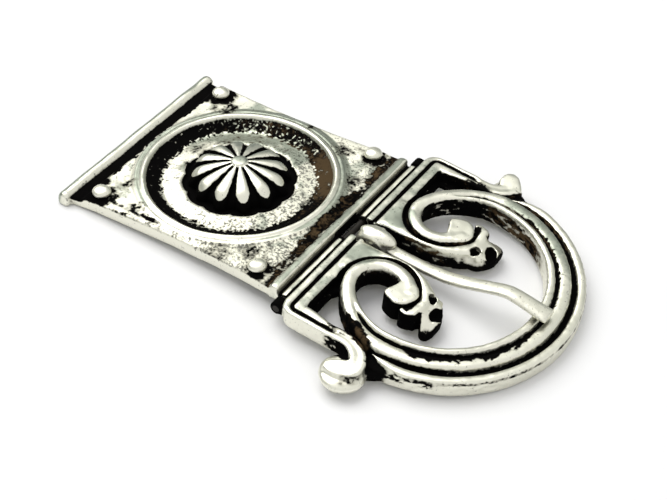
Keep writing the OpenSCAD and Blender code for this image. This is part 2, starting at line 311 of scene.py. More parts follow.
# how far a level ray looks for another wall
ACROSS = 60.0


def points(mesh):
    co = np.empty(len(mesh.vertices) * 3)
    mesh.vertices.foreach_get("co", co)
    return co.reshape(-1, 3)


def normals(mesh):
    no = np.empty(len(mesh.vertices) * 3)
    mesh.vertices.foreach_get("normal", no)
    return no.reshape(-1, 3)


def move_points(mesh, co):
    mesh.vertices.foreach_set("co", co.ravel())
    mesh.update()


def edge_ends(mesh):
    ends = np.empty(len(mesh.edges) * 2, dtype=np.int64)
    mesh.edges.foreach_get("vertices", ends)
    return ends.reshape(-1, 2)


def relaxed(values, ends, rounds, share=0.5):
    """Moves each point's values towards its neighbours' mean, so many times."""
    count = len(values)
    flat = values.reshape(count, -1)
    degree = np.bincount(ends.ravel(), minlength=count)[:, None]
    for _ in range(rounds):
        total = np.zeros_like(flat)
        for column in range(flat.shape[1]):
            total[:, column] = (np.bincount(ends[:, 0], flat[ends[:, 1], column], count)
                                + np.bincount(ends[:, 1], flat[ends[:, 0], column], count))
        flat = flat + share * (total / degree - flat)
    return flat.reshape(values.shape)


def clouds(co, size, seed):
    """Smooth noise from -1 to 1 at each point, with blobs of about that size."""
    shift = Vector((seed * 17.3, seed * 5.1, seed * 9.7))
    return np.array([noise.noise(Vector(p) / size + shift) for p in co])


def hollows(co, no, ends, rounds):
    """How deep each point lies below the rounded shape of its surroundings."""
    return ((relaxed(co, ends, rounds) - co) * no).sum(axis=1)


def shelter(mesh, reach, rays=12):
    """Share of the sky that the casting hides within reach, and 1 for points on inner walls."""
    co, no = points(mesh), normals(mesh)
    mesh.calc_loop_triangles()
    tree = BVHTree.FromPolygons(co.tolist(), [tuple(t.vertices) for t in mesh.loop_triangles])
    side = np.cross(no, np.where(np.abs(no[:, 2:]) < 0.9, (0, 0, 1.0), (1.0, 0, 0)))
    side /= np.linalg.norm(side, axis=1)[:, None]
    third = np.cross(no, side)
    hidden = np.zeros(len(co))
    start = [Vector(p) for p in co + no * OFF_SKIN]
    for ray in range(rays):
        lift = math.sqrt((ray + 0.5) / rays)
        out = math.sqrt(1 - lift * lift)
        turn = ray * GOLDEN_ANGLE
        way = no * lift + side * (out * math.cos(turn)) + third * (out * math.sin(turn))
        for number, direction in enumerate(way.tolist()):
            distance = tree.ray_cast(start[number], direction, reach)[3]
            if distance is not None:
                hidden[number] += 1 - distance / reach
    inner = np.zeros(len(co))
    for number, (x, y, z) in enumerate(no.tolist()):
        if abs(z) < 0.75 and tree.ray_cast(start[number], (x, y, 0.05), ACROSS)[3] is not None:
            inner[number] = 1.0
    return hidden / rays, inner


def keep(mesh, **layers):
    """Stores numbers from 0 to 1 for the material to read, each an array or one value for all points."""
    for name, values in layers.items():
        layer = mesh.attributes.new(name, "FLOAT", "POINT")
        every = np.clip(np.full(len(mesh.vertices), values), 0, 1)
        layer.data.foreach_set("value", every.astype(np.float32))


def near(co, x, y, radius, soft):
    """1 within a radius of a spot seen from above, falling to 0."""
    return 1 - smooth(radius - soft, radius + soft, np.hypot(co[:, 0] - x, co[:, 1] - y))


def band(value, low, high, soft):
    """1 between two limits, falling to 0 outside them."""
    return smooth(low - soft, low + soft, value) * (1 - smooth(high - soft, high + soft, value))


def darkest(*marks):
    """The blackest of several marks at each point."""
    return np.maximum.reduce(marks)


def thinned(obj, triangles):
    """Brings a skin under a number of triangles, keeping its edges."""
    mesh = obj.data
    mesh.calc_loop_triangles()
    if len(mesh.loop_triangles) > triangles:
        fewer = obj.modifiers.new("thin", "DECIMATE")
        fewer.ratio = triangles / len(mesh.loop_triangles)
        applied(obj)


def weathered(obj, rounds, waves, highest, triangles, dents=None):
    """Rounds a skin's edges, makes its faces uneven and thins it.

    Each wave is a noise's blob size, seed and height. The noise rises no higher than highest."""
    mesh = obj.data
    co = relaxed(points(mesh), edge_ends(mesh), rounds)
    move_points(mesh, co)
    no = normals(mesh)
    uneven = sum(clouds(co, size, seed) * height for size, seed, height in waves)
    if dents:
        uneven += dents(co, no)
    move_points(mesh, co + no * np.minimum(uneven, highest)[:, None])
    thinned(obj, triangles)


class Skin:
    """Arrays over a thinned skin's points, from which its patina is worked out."""

    def __init__(self, mesh, reach, blur, rounds):
        self.co, self.no, self.ends = points(mesh), normals(mesh), edge_ends(mesh)
        hidden, self.inner = shelter(mesh, reach)
        self.hidden = relaxed(hidden, self.ends, blur)
        self.depth = hollows(self.co, self.no, self.ends, rounds)

    def gathered(self, shade, hollow):
        """Black that gathers where the sky is hidden and where the skin is hollow."""
        return self.hidden * shade + np.clip(self.depth, 0, 1) * hollow


def finished(obj, place, body, material, nodes):
    """Puts a piece in its place, gives it its material and lets it ride on its body."""
    obj.data.transform(place)
    obj.data.shade_smooth()
    obj.data.materials.clear()
    obj.data.materials.append(material)
    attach(obj, body)
    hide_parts(*nodes)


# Belt plate

RIVET_SPOTS = {"back_left": (-16.3, 16.9), "back_right": (-16.3, -16.9),
               "front_left": (15.9, 17.4), "front_right": (15.9, -17.4)}
# radius of the hinge pin's bore, and how dark the backs of the castings are
PIN_BORE = 0.68
BACK_TARNISH = 0.22
# turn of the first petal, and how far the recess swells out round a petal's tip
ROSETTE_TURN = math.radians(10)
SCALLOP_DEPTH = 0.6
# limits of blackened places along the plate, and of the last one across it too
CHANNEL = (-20.75, -18.1)
STRIP = (18.2, 20.1)
BARREL_CREST = (22.25, 23.05)
EDGE_STREAK = ((-15, -3.5), (-18.15, -17.35))
# stains on the face: along, across, radius
PLATE_STAINS = ((-9.5, -17.9, 3.2), (8.5, -18.5, 2.6), (-13.2, 14.0, 2.8), (13.5, -14.5, 2.4),
                (-14.5, -12.5, 2), (-3, -19.0, 1.8), (17, 9, 2.5), (3, 18.2, 1.5), (11, 15.5, 2.5))


def plate_side(sizes, x):
    """Half width of the plate, whose long sides are drawn in."""
    return sizes.half - sizes.waist * (1 - (x / sizes.front) ** 2)


def plate_slab(shells, sizes):
    # side, height, how far the corner is drawn in
    section = [(-1, -sizes.thick, 0.25), (1, -sizes.thick, 0.25), (1, -2.15, 0), (1, -0.42, 0),
               (1, -0.14, 0.08), (1, 0, 0.36), (-1, 0, 0.36), (-1, -0.14, 0.08), (-1, -0.42, 0),
               (-1, -2.15, 0)]
    # along the plate, how deep the top is sunk
    channel = [(-22.2, 0.8), (-20.4, 0.8), (-18.8, 0.78), (-18.35, 0.3), (-18.1, 0.06), (-17.6, 0)]
    middle = [(x, 0) for x in steps(-16, 16, 16)]
    strip = [(17.2, 0), (17.8, 0.18), (19.9, 0.25), (20.3, 0.2), (21.5, 0.2)]

    def place(corner, station):
        side, height, inset = corner
        x, sunk = station
        top = height - sunk if height > -0.5 else height
        return Vector((x, side * (plate_side(sizes, x) - inset), top))

    shells.sweep(section, channel + middle + strip, place)


def rib_along(shells, sizes):
    """The rounded rib across the back end."""
    r = sizes.rib
    section = [(-r, -sizes.thick + 0.15), (-r, -r)]
    section += [(r * math.cos(a), -r + r * math.sin(a)) for a in steps(math.pi, 0, 12)[1:]]
    section += [(r, -sizes.thick)]
    # across the plate, how much of the section is left
    ends = [(1.0, 0.55), (0.994, 0.82), (0.982, 0.95), (0.96, 1.0)]
    stations = [(-y * sizes.rib_half, s) for y, s in ends] + [(y * sizes.rib_half, s) for y, s in ends[::-1]]

    def place(corner, station):
        x, z = corner
        y, left = station
        return Vector((-sizes.back + r + x * left, y, -sizes.thick + (z + sizes.thick) * left))

    shells.sweep(section, stations, place)


def border_bar(shells, sizes):
    """The raised bar in front of the hinge."""
    back, front = 19.8, 21.55
    section = [(back, -1.6), (19.85, -0.12), (20.05, 0.14), (20.4, 0.3), (20.85, 0.36), (21.25, 0.33),
               (21.47, 0.16), (front, -0.2), (front, -sizes.thick), (back, -sizes.thick)]
    reach = sizes.half - 0.1
    # across the plate, how far the top sinks
    stations = [(-reach, 0.35), (-reach + 0.25, 0.1), (-reach + 0.7, 0)]
    stations += [(-y, sink) for y, sink in stations[::-1]]

    def place(corner, station):
        x, z = corner
        y, sink = station
        return Vector((x, y, z - sink if z > -1 else z))

    shells.sweep(section, stations, place)


def hinge_barrels(shells, sizes):
    """The two halves of the barrel, on each side of the tongue's slot."""
    for side in (-1, 1):
        low, high = sorted((side * sizes.slot_half, side * (sizes.half - 0.2)))
        shells.rod(sizes.front, -sizes.pin_drop, sizes.barrel, low, high)
        shells.block((20.8, low, -sizes.thick), (sizes.front, high, -1.25))


def moulded_ring(shells, sizes):
    # from the lip's radius, height
    section = [(-1.6, -1.4), (2.35, -1.4), (2.3, -0.05), (1.9, 0.12), (1.6, 0.34), (1.3, 0.5),
               (1.05, 0.52), (0.86, 0.46), (0.72, 0.42), (0.56, 0.47), (0.36, 0.64), (0.14, 0.78),
               (-0.12, 0.8), (-0.36, 0.68), (-0.52, 0.4), (-1.6, 0.3)]
    shells.turn([(sizes.ring + r, z) for r, z in section], closed=True, count=160)


def scallop(sizes, turn):
    """1 beyond a petal's tip and 0 between two petals, for angles."""
    return np.abs(np.cos((turn - ROSETTE_TURN) * sizes.petals / 2)) ** 0.6


def dish(cutter, sizes):
    """The hollow inside the ring: a low crown on its floor and a scalloped recess for the rosette."""
    lip, floor, groove = sizes.ring - 0.5, sizes.dish, sizes.groove
    cutter.turn([(0, 3), (lip + 0.1, 3), (lip, 0.4), (lip - 0.2, 0.02), (lip - 0.9, -0.34),
                 (floor + 1.0, -0.72), (floor + 0.35, -1.0), (floor - 0.1, -1.06), (floor - 0.7, -0.98),
                 (floor - 1.8, -0.8), (groove + 0.9, -0.62), (groove + 0.35, -0.62), (groove, -0.8),
                 (groove - 0.2, -1.25), (0, -1.25)], count=216)
    for vert in cutter.bm.verts:
        radius = vert.co.xy.length
        if groove - 0.3 < radius < groove + 0.5:
            swell = scallop(sizes, math.atan2(vert.co.y, vert.co.x)) - 0.6
            vert.co.xy *= 1 + swell * SCALLOP_DEPTH / radius


def plate_patina(mesh, sizes):
    """Black in the dish, the channel and the hinge and round the rivets, brown beside it, a painted shadow by each
    rivet, painted shade on the dish floor and painted reflection on some faces.
    """
    skin = Skin(mesh, reach=2.5, blur=2, rounds=30)
    co, no = skin.co, skin.no
    x, y, z = co.T
    wide, broad, fine = clouds(co, 6.0, 3), clouds(co, 2.4, 1), clouds(co, 0.6, 2)
    rough = broad * 0.5 + fine * 0.5
    up = smooth(0.0, 0.4, no[:, 2])

    # in the dish, by the radius and by the angle in degrees from the hinge's side
    radius, angle = np.hypot(x, y), np.degrees(np.arctan2(y, x)) % 360
    left, rear = band(angle, 150, 245, 15), band(angle, 60, 150, 30)
    warm = band((angle + 70) % 360, 60, 205, 25)
    foot = sizes.dish - 0.15 + broad * 0.75 + fine * 0.6 + 0.6 * band(angle, 95, 290, 40)
    foot = foot + 0.8 * clouds(co, 0.38, 6)
    wall = smooth(-0.75, 0.35, radius - foot)
    wall = wall * (1 - smooth(sizes.ring - 0.75, sizes.ring - 0.4, radius))
    specks = np.maximum(rear, 0.9 * (1 - warm)) * smooth(0.12, 0.45, clouds(co, 0.4, 5))
    wall_black = wall * up * (1.02 - 0.3 * np.maximum(rear, warm) + 0.25 * rough - 0.42 * specks)
    recess = sizes.groove - 0.3 + scallop(sizes, np.radians(angle)) * SCALLOP_DEPTH
    recess = recess + fine * 0.2 + broad * 0.15
    recess_black = (radius > 7.2) * (1 - smooth(-0.25, 0.2, radius - recess)) * up
    floor = band(radius, sizes.groove, sizes.dish + 0.2, 0.4)
    # painted shade: the dish floor is darker on its rear and towards the back end, with patina specks in it
    floor_patina_and_shade = band(angle, 75, 215, 35) * floor * (0.30 + 0.5 * rough)
    valley = band(radius, sizes.ring + 0.6, sizes.ring + 0.9, 0.12) * (0.24 + 0.3 * broad)

    # along the channel, the strip behind the border bar, and the hinge
    channel = band(x + (fine + broad) * 0.9 * (x > -19.5), *CHANNEL, 0.25) * up * 1.1
    soaked = band(y, -9, 8, 4)
    strip = band(x + broad * 0.7 + fine * 0.5, STRIP[0] - 0.5 * soaked, STRIP[1], 0.6) * up
    black = darkest(skin.gathered(1.3, 5), wall_black, recess_black, floor_patina_and_shade, valley, channel,
                    strip * (0.72 + 0.25 * soaked + 0.6 * rough))
    # black under the border bar but for the barrel's crest, and grey on the bar's front side
    crest = band(x, *BARREL_CREST, 0.1) * (no[:, 2] > 0.5)
    black = np.where((x > 21.6) & (z < -0.25), 1 - 0.9 * crest, black)
    black = np.where((x > 21.4) & (x <= 21.6) & (z > -0.9), 0.34, black)
    slot = 1.1 * (x > 21.0) * (np.abs(y) < sizes.slot_half + 0.5) * (z < -0.12)
    streak = band(y + 0.25 * broad, *EDGE_STREAK[1], 0.2) * band(x, *EDGE_STREAK[0], 1.5) * up
    black = darkest(black, slot, streak * (0.62 + 0.9 * rough))

    # round the rivets, more at the back, and in stains; the black round each rivet is moved towards the side away
    # from the lamp, as a painted shadow of its head
    for rivet_x, rivet_y in RIVET_SPOTS.values():
        back = rivet_x < 0
        blot_and_painted_shadow = near(co, rivet_x + 0.5, rivet_y - 0.3 + 0.5 * fine, 2.6 if back else 2.3, 1.0)
        black = darkest(black, blot_and_painted_shadow * up * (0.85 + 0.9 * rough))
        for shift in (-2.2, 2.2) if back else ():
            beside = near(co, rivet_x - 2.0, rivet_y + shift, 1.5, 0.9)
            black = darkest(black, beside * up * (1 + rough))
    for stain_x, stain_y, reach in PLATE_STAINS:
        black = darkest(black, near(co, stain_x, stain_y, reach, 1.6) * up * (0.46 + 0.7 * rough))
    black = np.where(no[:, 2] < -0.3, BACK_TARNISH, black)

    # painted sheen: the brown on the dish wall is lighter near 35 and 345 degrees; on the rear the brown also
    # tints the floor's painted shade
    painted_sheen = np.exp(-((angle - 35) / 22) ** 2) + 0.6 * np.exp(-((angle - 345) / 14) ** 2)
    blotch = np.clip(0.5 + 1.5 * broad + 0.8 * fine, 0, 1)
    brown = darkest(wall * warm * (0.22 + 0.3 * blotch + 0.5 * painted_sheen), strip * (0.45 + 0.7 * rough),
                    rear * (floor * 0.5 + wall * 0.4 * blotch))
    # painted reflection: flat tops in patches, the border bar, the ring's outer slope, the back of the rib and the
    # dish's rear take the darker grey-green silver, less of it on the near side
    patches = smooth(0.9, 0.995, no[:, 2]) * np.clip(0.25 + 0.9 * wide + 0.5 * broad, 0, 1)
    below = 1 - smooth(40, 70, np.abs((angle - 290 + 180) % 360 - 180))
    slope = band(radius, sizes.ring + 0.5, 19.0 - 1.1 * left, 0.2) * (0.75 - 0.6 * below)
    rib_back = (x < -21.0) * smooth(-0.15, 0.3, -no[:, 0])
    dull = patches + band(x, 19.9, 21.2, 0.2) * 0.7 + slope + rib_back + rear * (floor * 0.5 + wall)
    dull = dull * (1 - 0.7 * band((angle + 120) % 360, 20, 80, 20))
    face = (radius > sizes.ring + 1.5) * up
    pits = np.maximum(floor * (0.45 + 0.45 * smooth(-4, 8, x)),
                      face * (0.3 + 0.65 * smooth(-4, 12, x - y * 0.5) + 0.5 * broad))
    pits = np.clip(pits * (x > -21) * (x < 20.3), 0.04, 1)
    keep(mesh, patina=black, brown=brown, dull=dull, pits=pits)


def make_plate(sizes, finish, place, silver):
    shells, cutter = Shells(), Shells()
    plate_slab(shells, sizes)
    rib_along(shells, sizes)
    border_bar(shells, sizes)
    hinge_barrels(shells, sizes)
    moulded_ring(shells, sizes)
    dish(cutter, sizes)
    cutter.rod(sizes.front, -sizes.pin_drop, PIN_BORE, -sizes.half - 2, sizes.half + 2)
    for x, y in RIVET_SPOTS.values():
        cutter.post(x, y, sizes.rivet_shank + 0.06, -sizes.thick - 1, 1)
    obj = melt("belt_plate_cast", shells, finish.grain, cutter)
    weathered(obj, rounds=4, waves=[(4.5, 7, 0.11), (1.3, 8, 0.02)], highest=0.04, triangles=190000)
    plate_patina(obj.data, sizes)
    finished(obj, place, "plate", silver, ["belt_plate"])


# Rosette

# size of the skin's cells on small pieces
FINE_GRAIN = 0.1
TONGUE_GRAIN = 0.11


def dome(r):
    """Height of the rosette's petals over the plate's face, at a radius."""
    return 3.2 - 1.45 * (r / 8) ** 2 - 1.7 * max(0.0, (r - 6.0) / 2.6) ** 2.6


def petal_gap(r):
    """Width of the gap between two petals at a radius."""
    return 0.12 + 0.0205 * r * r


def rosette_petal(shells, sizes, turn):
    # across the petal, whether the corner is on the underside
    section = [(-1, True)] + [(u, False) for u in steps(-1, 1, 10)] + [(1, True)]
    across = Vector((-math.sin(turn), math.cos(turn), 0))
    along = Vector((math.cos(turn), math.sin(turn), 0))
    pitch = math.tau / sizes.petals

    def place(corner, r):
        u, low = corner
        half = (pitch * r - petal_gap(r)) / 2
        tip = max(0.0, (r - 6.9) / (sizes.rosette - 7.05))
        half *= math.sqrt(max(0.08, 1 - tip ** 2.2))
        sag = (0.1 + 0.055 * r) * abs(u) ** 2.6
        height = dome(r) - 1.2 - 0.16 * r if low else dome(r) - sag
        return along * r + across * (u * half) + Vector((0, 0, max(height, -1.6)))

    shells.sweep(section, steps(0.7, 7.0, 17) + steps(7.15, sizes.rosette - 0.02, 14), place)


def rosette_patina(mesh, sizes):
    """Black between the petals and round their tips."""
    skin = Skin(mesh, reach=2.0, blur=1, rounds=0)
    x, y, z = skin.co.T
    radius, angle = np.hypot(x, y), np.arctan2(y, x)
    pitch = math.tau / sizes.petals
    off = np.abs((angle - ROSETTE_TURN + pitch / 2) % pitch - pitch / 2) * radius
    tip = np.clip((radius - 6.7) / 1.5, 0, 1)
    edge = (pitch * radius - petal_gap(radius)) / 2 * np.sqrt(1 - tip ** 2.1)
    deep = np.array([dome(min(r, 7.9)) for r in radius]) - z
    rough = clouds(skin.co, 0.7, 12) * 0.1
    black = darkest(skin.gathered(0.9, 0), smooth(-0.26, -0.02, off - edge + rough),
                    smooth(0.9, 1.3, deep - 0.02 * radius + rough), smooth(8.05, 8.25, radius + rough))
    black = np.where(radius < sizes.button + 0.1, (deep > 0.35) * 0.6, black)
    # painted reflection: flanks that look away from the camera, and the button's top, take the darker grey-green
    # silver
    away = smooth(-0.05, 0.4, skin.no @ np.array((-0.5, 0.8, 0.0)))
    keep(mesh, patina=black, brown=0.0, dull=away * 0.85 + (radius < sizes.button - 0.1) * 0.6,
         pits=0.05)


def make_rosette(sizes, place, silver):
    shells = Shells()
    core = [(0, -1.6), (7.6, -1.6), (7.6, -0.6)]
    core += [(r, dome(r) - 0.5 - 0.12 * r) for r in steps(7.4, 0.6, 14)] + [(0, 2.6)]
    shells.turn(core)
    for number in range(sizes.petals):
        rosette_petal(shells, sizes, ROSETTE_TURN + number * math.tau / sizes.petals)
    b = sizes.button
    shells.turn([(0, 2), (b - 0.05, 2), (b, 3.1), (b - 0.08, 3.32), (b - 0.3, 3.44), (b - 0.8, 3.49),
                 (0, 3.5)])
    obj = melt("rosette", shells, FINE_GRAIN)
    weathered(obj, rounds=3, waves=[(1.5, 11, 0.025)], highest=1.0, triangles=90000)
    rosette_patina(obj.data, sizes)
    finished(obj, place, "plate", silver, [])


# Rivets

def make_rivet(name, spot, seed, sizes, place, silver):
    """A headed rivet, a little knocked, with black round the foot of its head."""
    head, shank, under = sizes.rivet_head, sizes.rivet_shank, -sizes.thick
    bm = bmesh.new()
    outline = [(0, under + 0.02), (shank - 0.15, under + 0.02), (shank, under + 0.15), (shank, -0.05),
               (head - 0.3, 0.02), (head - 0.06, 0.2), (head, 0.5), (head - 0.1, 0.82),
               (head - 0.38, 1.1), (head - 0.85, 1.29), (0, 1.38)]
    verts = [bm.verts.new((r, 0, z)) for r, z in outline]
    edges = [bm.edges.new(pair) for pair in zip(verts, verts[1:])]
    bmesh.ops.spin(bm, geom=verts + edges, cent=(0, 0, 0), axis=(0, 0, 1), angle=math.tau, steps=40,
                   use_merge=True)
    bmesh.ops.remove_doubles(bm, verts=bm.verts, dist=1e-4)
    bmesh.ops.recalc_face_normals(bm, faces=bm.faces)
    bmesh.ops.subdivide_edges(bm, edges=bm.edges[:], cuts=1, use_grid_fill=True, smooth=0.6)
    mesh = bpy.data.meshes.new(name)
    bm.to_mesh(mesh)
    bm.free()
    co, no = points(mesh), normals(mesh)
    knocks = clouds(co, 1.6, seed) * 0.1 - 0.03
    skirt = 1 - smooth(0.1, 0.5, co[:, 2] + clouds(co, 0.8, seed + 9) * 0.15)
    co = co + no * np.where(co[:, 2] > 0.1, np.minimum(knocks, 0), 0)[:, None] + np.array((*spot, 0))
    move_points(mesh, co)
    # a little painted reflection over the whole rivet
    keep(mesh, patina=0.9 * skirt + 0.05, brown=0.0, dull=0.1, pits=0.15)
    finished(linked(name + "_cast", mesh), place, "plate", silver, [name])


# Buckle loop

# length of the bow over its half width, height of a volute's top, and where a head starts to droop
BOW_SHARE = 0.935
VOLUTE_TOP = 0.93
BROW = 41.6
# places on the left side: along, across
EYE, MOUTH, CHEEK = (42.1, 6.85), (44.25, 8.7), (42.6, 6.1)
TEETH, SNOUT, NOTCH = (44.4, 12.6), (44.75, 12.6), (35.4, 23.6)


def on_bow(sizes, k, degrees):
    """Point of the bow at an outline's half width k and an angle from the far end."""
    share = through([(17.7, 0.905), (18.9, 0.93), (19.4, BOW_SHARE)], k)
    a = math.radians(degrees)
    return Vector((sizes.bow_x + k * share * math.cos(a), k * math.sin(a), 0))


def bow_bands(shells, sizes):
    """The bow's inner ridge, groove and wide band, and its outer band, whose ends taper off."""
    low = -sizes.thick
    # outline's half width, height of the top
    inner = [(17.95, low), (17.7, low + 0.25), (17.68, 0.45), (17.78, 0.72), (18.0, 0.92), (18.3, 0.99),
             (18.6, 0.9), (18.8, 0.6), (18.86, 0.1), (19.0, -0.2), (19.25, -0.2), (19.36, 0.1),
             (19.45, 0.4), (19.75, 0.57), (20.4, 0.6), (21.1, 0.56), (21.45, 0.36), (21.62, -0.1),
             (21.66, -0.9), (21.7, low)]
    root, widest, start = 22.2, 24.28, 90
    outer = [(21.3, low), (21.3, -0.85), (22.45, -0.85), (22.62, -0.5), (22.7, -0.12), (22.95, 0.04),
             (23.5, 0.1), (23.95, 0.02), (24.2, -0.22), (widest, -0.6), (widest, -1.0),
             (widest, low + 0.4), (24.0, low)]

    def place(corner, degrees):
        k, z = corner
        spot = on_bow(sizes, k, degrees)
        spot.z = z
        return spot

    def place_outer(corner, degrees):
        k, z = corner
        left = start - abs(degrees)
        if z > -0.9 and k > 22:
            reach = through([(0, 22.55), (5, 23.2), (11, 23.9), (17, widest)], left)
            share = (reach - root) / (widest - root)
            k = root + (k - root) * share
            z -= 0.35 * float(1 - smooth(0, 8, left))
            k -= 0.25 * float(1 - smooth(0, 30, left)) * (k < 23)
        return place((k, z), degrees)

    shells.sweep(inner, steps(-92, 92, 92), place)
    shells.sweep(outer, steps(-start, start, 90), place_outer)


def scroll_line(sizes, s):
    """Middle of the scroll band: the shoulder from 0 to 1, then the volute from 1 to 2."""
    cx, cy, r = sizes.volute_x, sizes.volute_y, sizes.volute_r
    if s <= 1:
        return bezier([(sizes.bow_x, 19.65), (sizes.bow_x - 5.2, 19.65), (cx - r, cy + 4.3),
                       (cx - r, cy)], s)
    a = math.radians(180 + 165 * (s - 1))
    return Vector((cx + r * math.cos(a), cy + r * math.sin(a)))


def scroll_band(shells, sizes):
    """The band with a groove that leaves the bow and curls into the volute."""
    low = -sizes.thick
    # across from the outer edge, height on the bow, height on the volute
    section = [(-0.94, low, low), (-1, low + 0.3, low + 0.3), (-1, 0.0, 0.1), (-0.95, 0.3, 0.42),
               (-0.79, 0.55, 0.72), (-0.44, 0.61, 0.92), (-0.08, 0.58, 1.0), (0.08, 0.4, 0.99),
               (0.16, 0.0, 0.98), (0.3, -0.2, 0.95), (0.38, 0.1, 0.93), (0.44, 0.62, 0.9),
               (0.56, 0.92, 0.86), (0.74, 1.0, 0.76), (0.9, 0.88, 0.56), (0.99, 0.5, 0.25),
               (1, -0.2, -0.1), (1, low + 0.3, low + 0.3), (0.94, low, low)]

    def place(corner, s):
        w, on_the_bow, on_the_volute = corner
        here, ahead = scroll_line(sizes, s), scroll_line(sizes, s + 0.005)
        behind = scroll_line(sizes, max(0, s - 0.005))
        go = (ahead - behind).normalized()
        half = sizes.volute_w / 2 + 0.75 * (1 - min(s, 1)) ** 2
        half += 0.35 * float(smooth(1.75, 2.0, s))
        turned = float(smooth(0.22, 0.62, s))
        spot = here + Vector((-go.y, go.x)) * (w * half)
        height = on_the_bow + (on_the_volute - on_the_bow) * turned
        if 0.3 < w < 1 and height > 0:
            height += (VOLUTE_TOP - height) * float(smooth(1.5, 1.9, s))
        return Vector((spot.x, spot.y, height))

    shells.sweep(section, steps(0, 1, 36) + steps(1.03, 2.0, 34), place)


def volute_end(shells, sizes):
    """The widened end of the volute's band, with a corner that points into the volute."""
    outline = [(36.3, 7.0), (35.9, 8.6), (35.1, 10.35), (35.75, 11.15), (37.4, 11.75), (38.3, 11.75),
               (39.3, 11.15), (40.15, 9.9), (40.4, 8.3), (39.6, 6.9), (38.4, 6.0), (37.2, 6.3)]
    shells.pillow(rounded(outline), -sizes.thick, lambda x, y: VOLUTE_TOP, 0.25)


def neck_reach(sizes, degrees):
    """Distance from the volute's centre to the neck's outer side: two straight sides, then an arc."""
    a = math.radians(degrees)
    if degrees < -90:
        return min(7.4 / max(1e-6, abs(math.sin(a))), 8.05 / max(1e-6, abs(math.cos(a))))
    return 4.8 * math.sin(a) + math.sqrt(23.04 * math.sin(a) ** 2 + 125.8)


def neck(shells, sizes):
    """The beast's neck, which starts at the tongue's slot and winds round the volute."""
    low = -sizes.thick
    # share of the way from the volute's side to the outer side, height of the top, ledge under the groove
    section = [(0.0, low, -0.9), (0.0, -0.68, -0.9), (0.0, -0.62, -0.05), (0.0, 0.1, 0), (0.06, 0.45, 0),
               (0.2, 0.6, 0), (0.5, 0.62, 0), (0.72, 0.52, 0), (0.88, 0.25, 0), (0.98, -0.3, 0),
               (1.0, -1.2, 0), (0.98, low, 0)]

    def place(corner, degrees):
        share, z, ledge = corner
        inside = through([(-35, 6.5), (-12, 6.9), (6, 7.0)], degrees)
        outside = min(neck_reach(sizes, degrees) - 0.05,
                      through([(-22, 12), (-14, 8.8), (14, 8.2)], degrees))
        r = inside + (outside - inside) * share + ledge
        a = math.radians(degrees)
        x, y = sizes.volute_x + r * math.cos(a), sizes.volute_y + r * math.sin(a)
        if z > -0.2:
            z -= 0.5 * (z + 0.1) * float(1 - smooth(-125, -75, degrees))
        return Vector((x, y, z))

    shells.sweep(section, steps(-178, -90, 22) + steps(-86, 16, 28), place)


def head_top(x, y):
    """Height of the head, which droops towards the snout."""
    droop = 0.4 * max(0.0, x - BROW)
    return 0.55 - droop - 0.6 * max(0.0, y - 10) * float(smooth(41.8, 43.2, x))


def beast_head(shells, cutter, sizes):
    """Ear, brow, snout and cheek of the small beast, and the hollows of its eye and mouth."""
    low = -sizes.thick
    ear = [(38.85, 12.0), (39.75, 11.45), (40.6, 10.3), (40.95, 8.0), (42.3, 8.0), (42.4, 10.1),
           (42.1, 10.8), (41.95, 11.4), (41.2, 12.5), (39.7, 12.75)]
    head = [(41.0, 8.6), (41.2, 6.6), (42.0, 5.6), (43.1, 5.7), (44.1, 6.6), (44.9, 7.8), (45.3, 9.2),
            (45.25, 10.6), (45.1, 11.7), (44.8, 12.6), (44.1, 12.95), (43.3, 12.5), (42.85, 11.7),
            (42.6, 11.1), (42.2, 10.6), (41.6, 10.2)]
    shells.pillow(rounded(ear), low, lambda x, y: 0.55, 0.3)
    shells.pillow(rounded(head), low, head_top, 0.5)
    shells.pebble((43.0, 6.3, -1.0), (0.85, 0.75, 0.8))
    cutter.pebble((*EYE, 0.0), (0.75, 1.1, 1.15), -25)
    cutter.pebble((*MOUTH, -0.6), (1.05, 1.6, 1.45), 18)
    cutter.pebble((42.45, 11.5, 0.3), (0.24, 0.95, 1.7), -39)


def frame_line(sizes):
    """Stations of the frame's bar and arm: place, way outwards, depth of the line, width, bar or arm."""
    x, y, bend = 25.35, sizes.frame_half - 1.25, 0.95
    stations = [(Vector((x, t)), Vector((-1, 0)), 1, 1, 1) for t in (2.4, 2.7, 8, 14, 19.5, y - bend)]
    for a in (157, 135, 112):
        out = Vector((math.cos(math.radians(a)), math.sin(math.radians(a))))
        stations.append((Vector((x + bend, y - bend)) + out * bend, out, 1, 1, (a - 90) / 90))
    for t in (x + bend, 28, 29.5, 31, 32, 33):
        stations.append((Vector((t, y)), Vector((0, 1)), 1, 1, 0))
    curl = [(33.0, y), (36.6, 21.6), (38.9, 22.9), (39.85, 25.3)]
    for t in steps(0, 1, 16)[1:]:
        here = bezier(curl, t)
        go = (bezier(curl, min(1, t + 0.01)) - bezier(curl, max(0, t - 0.01))).normalized()
        stations.append((here, Vector((-go.y, go.x)), float(1 - smooth(0.0, 0.14, t)), 1 + 0.14 * t * t, 0))
    return stations


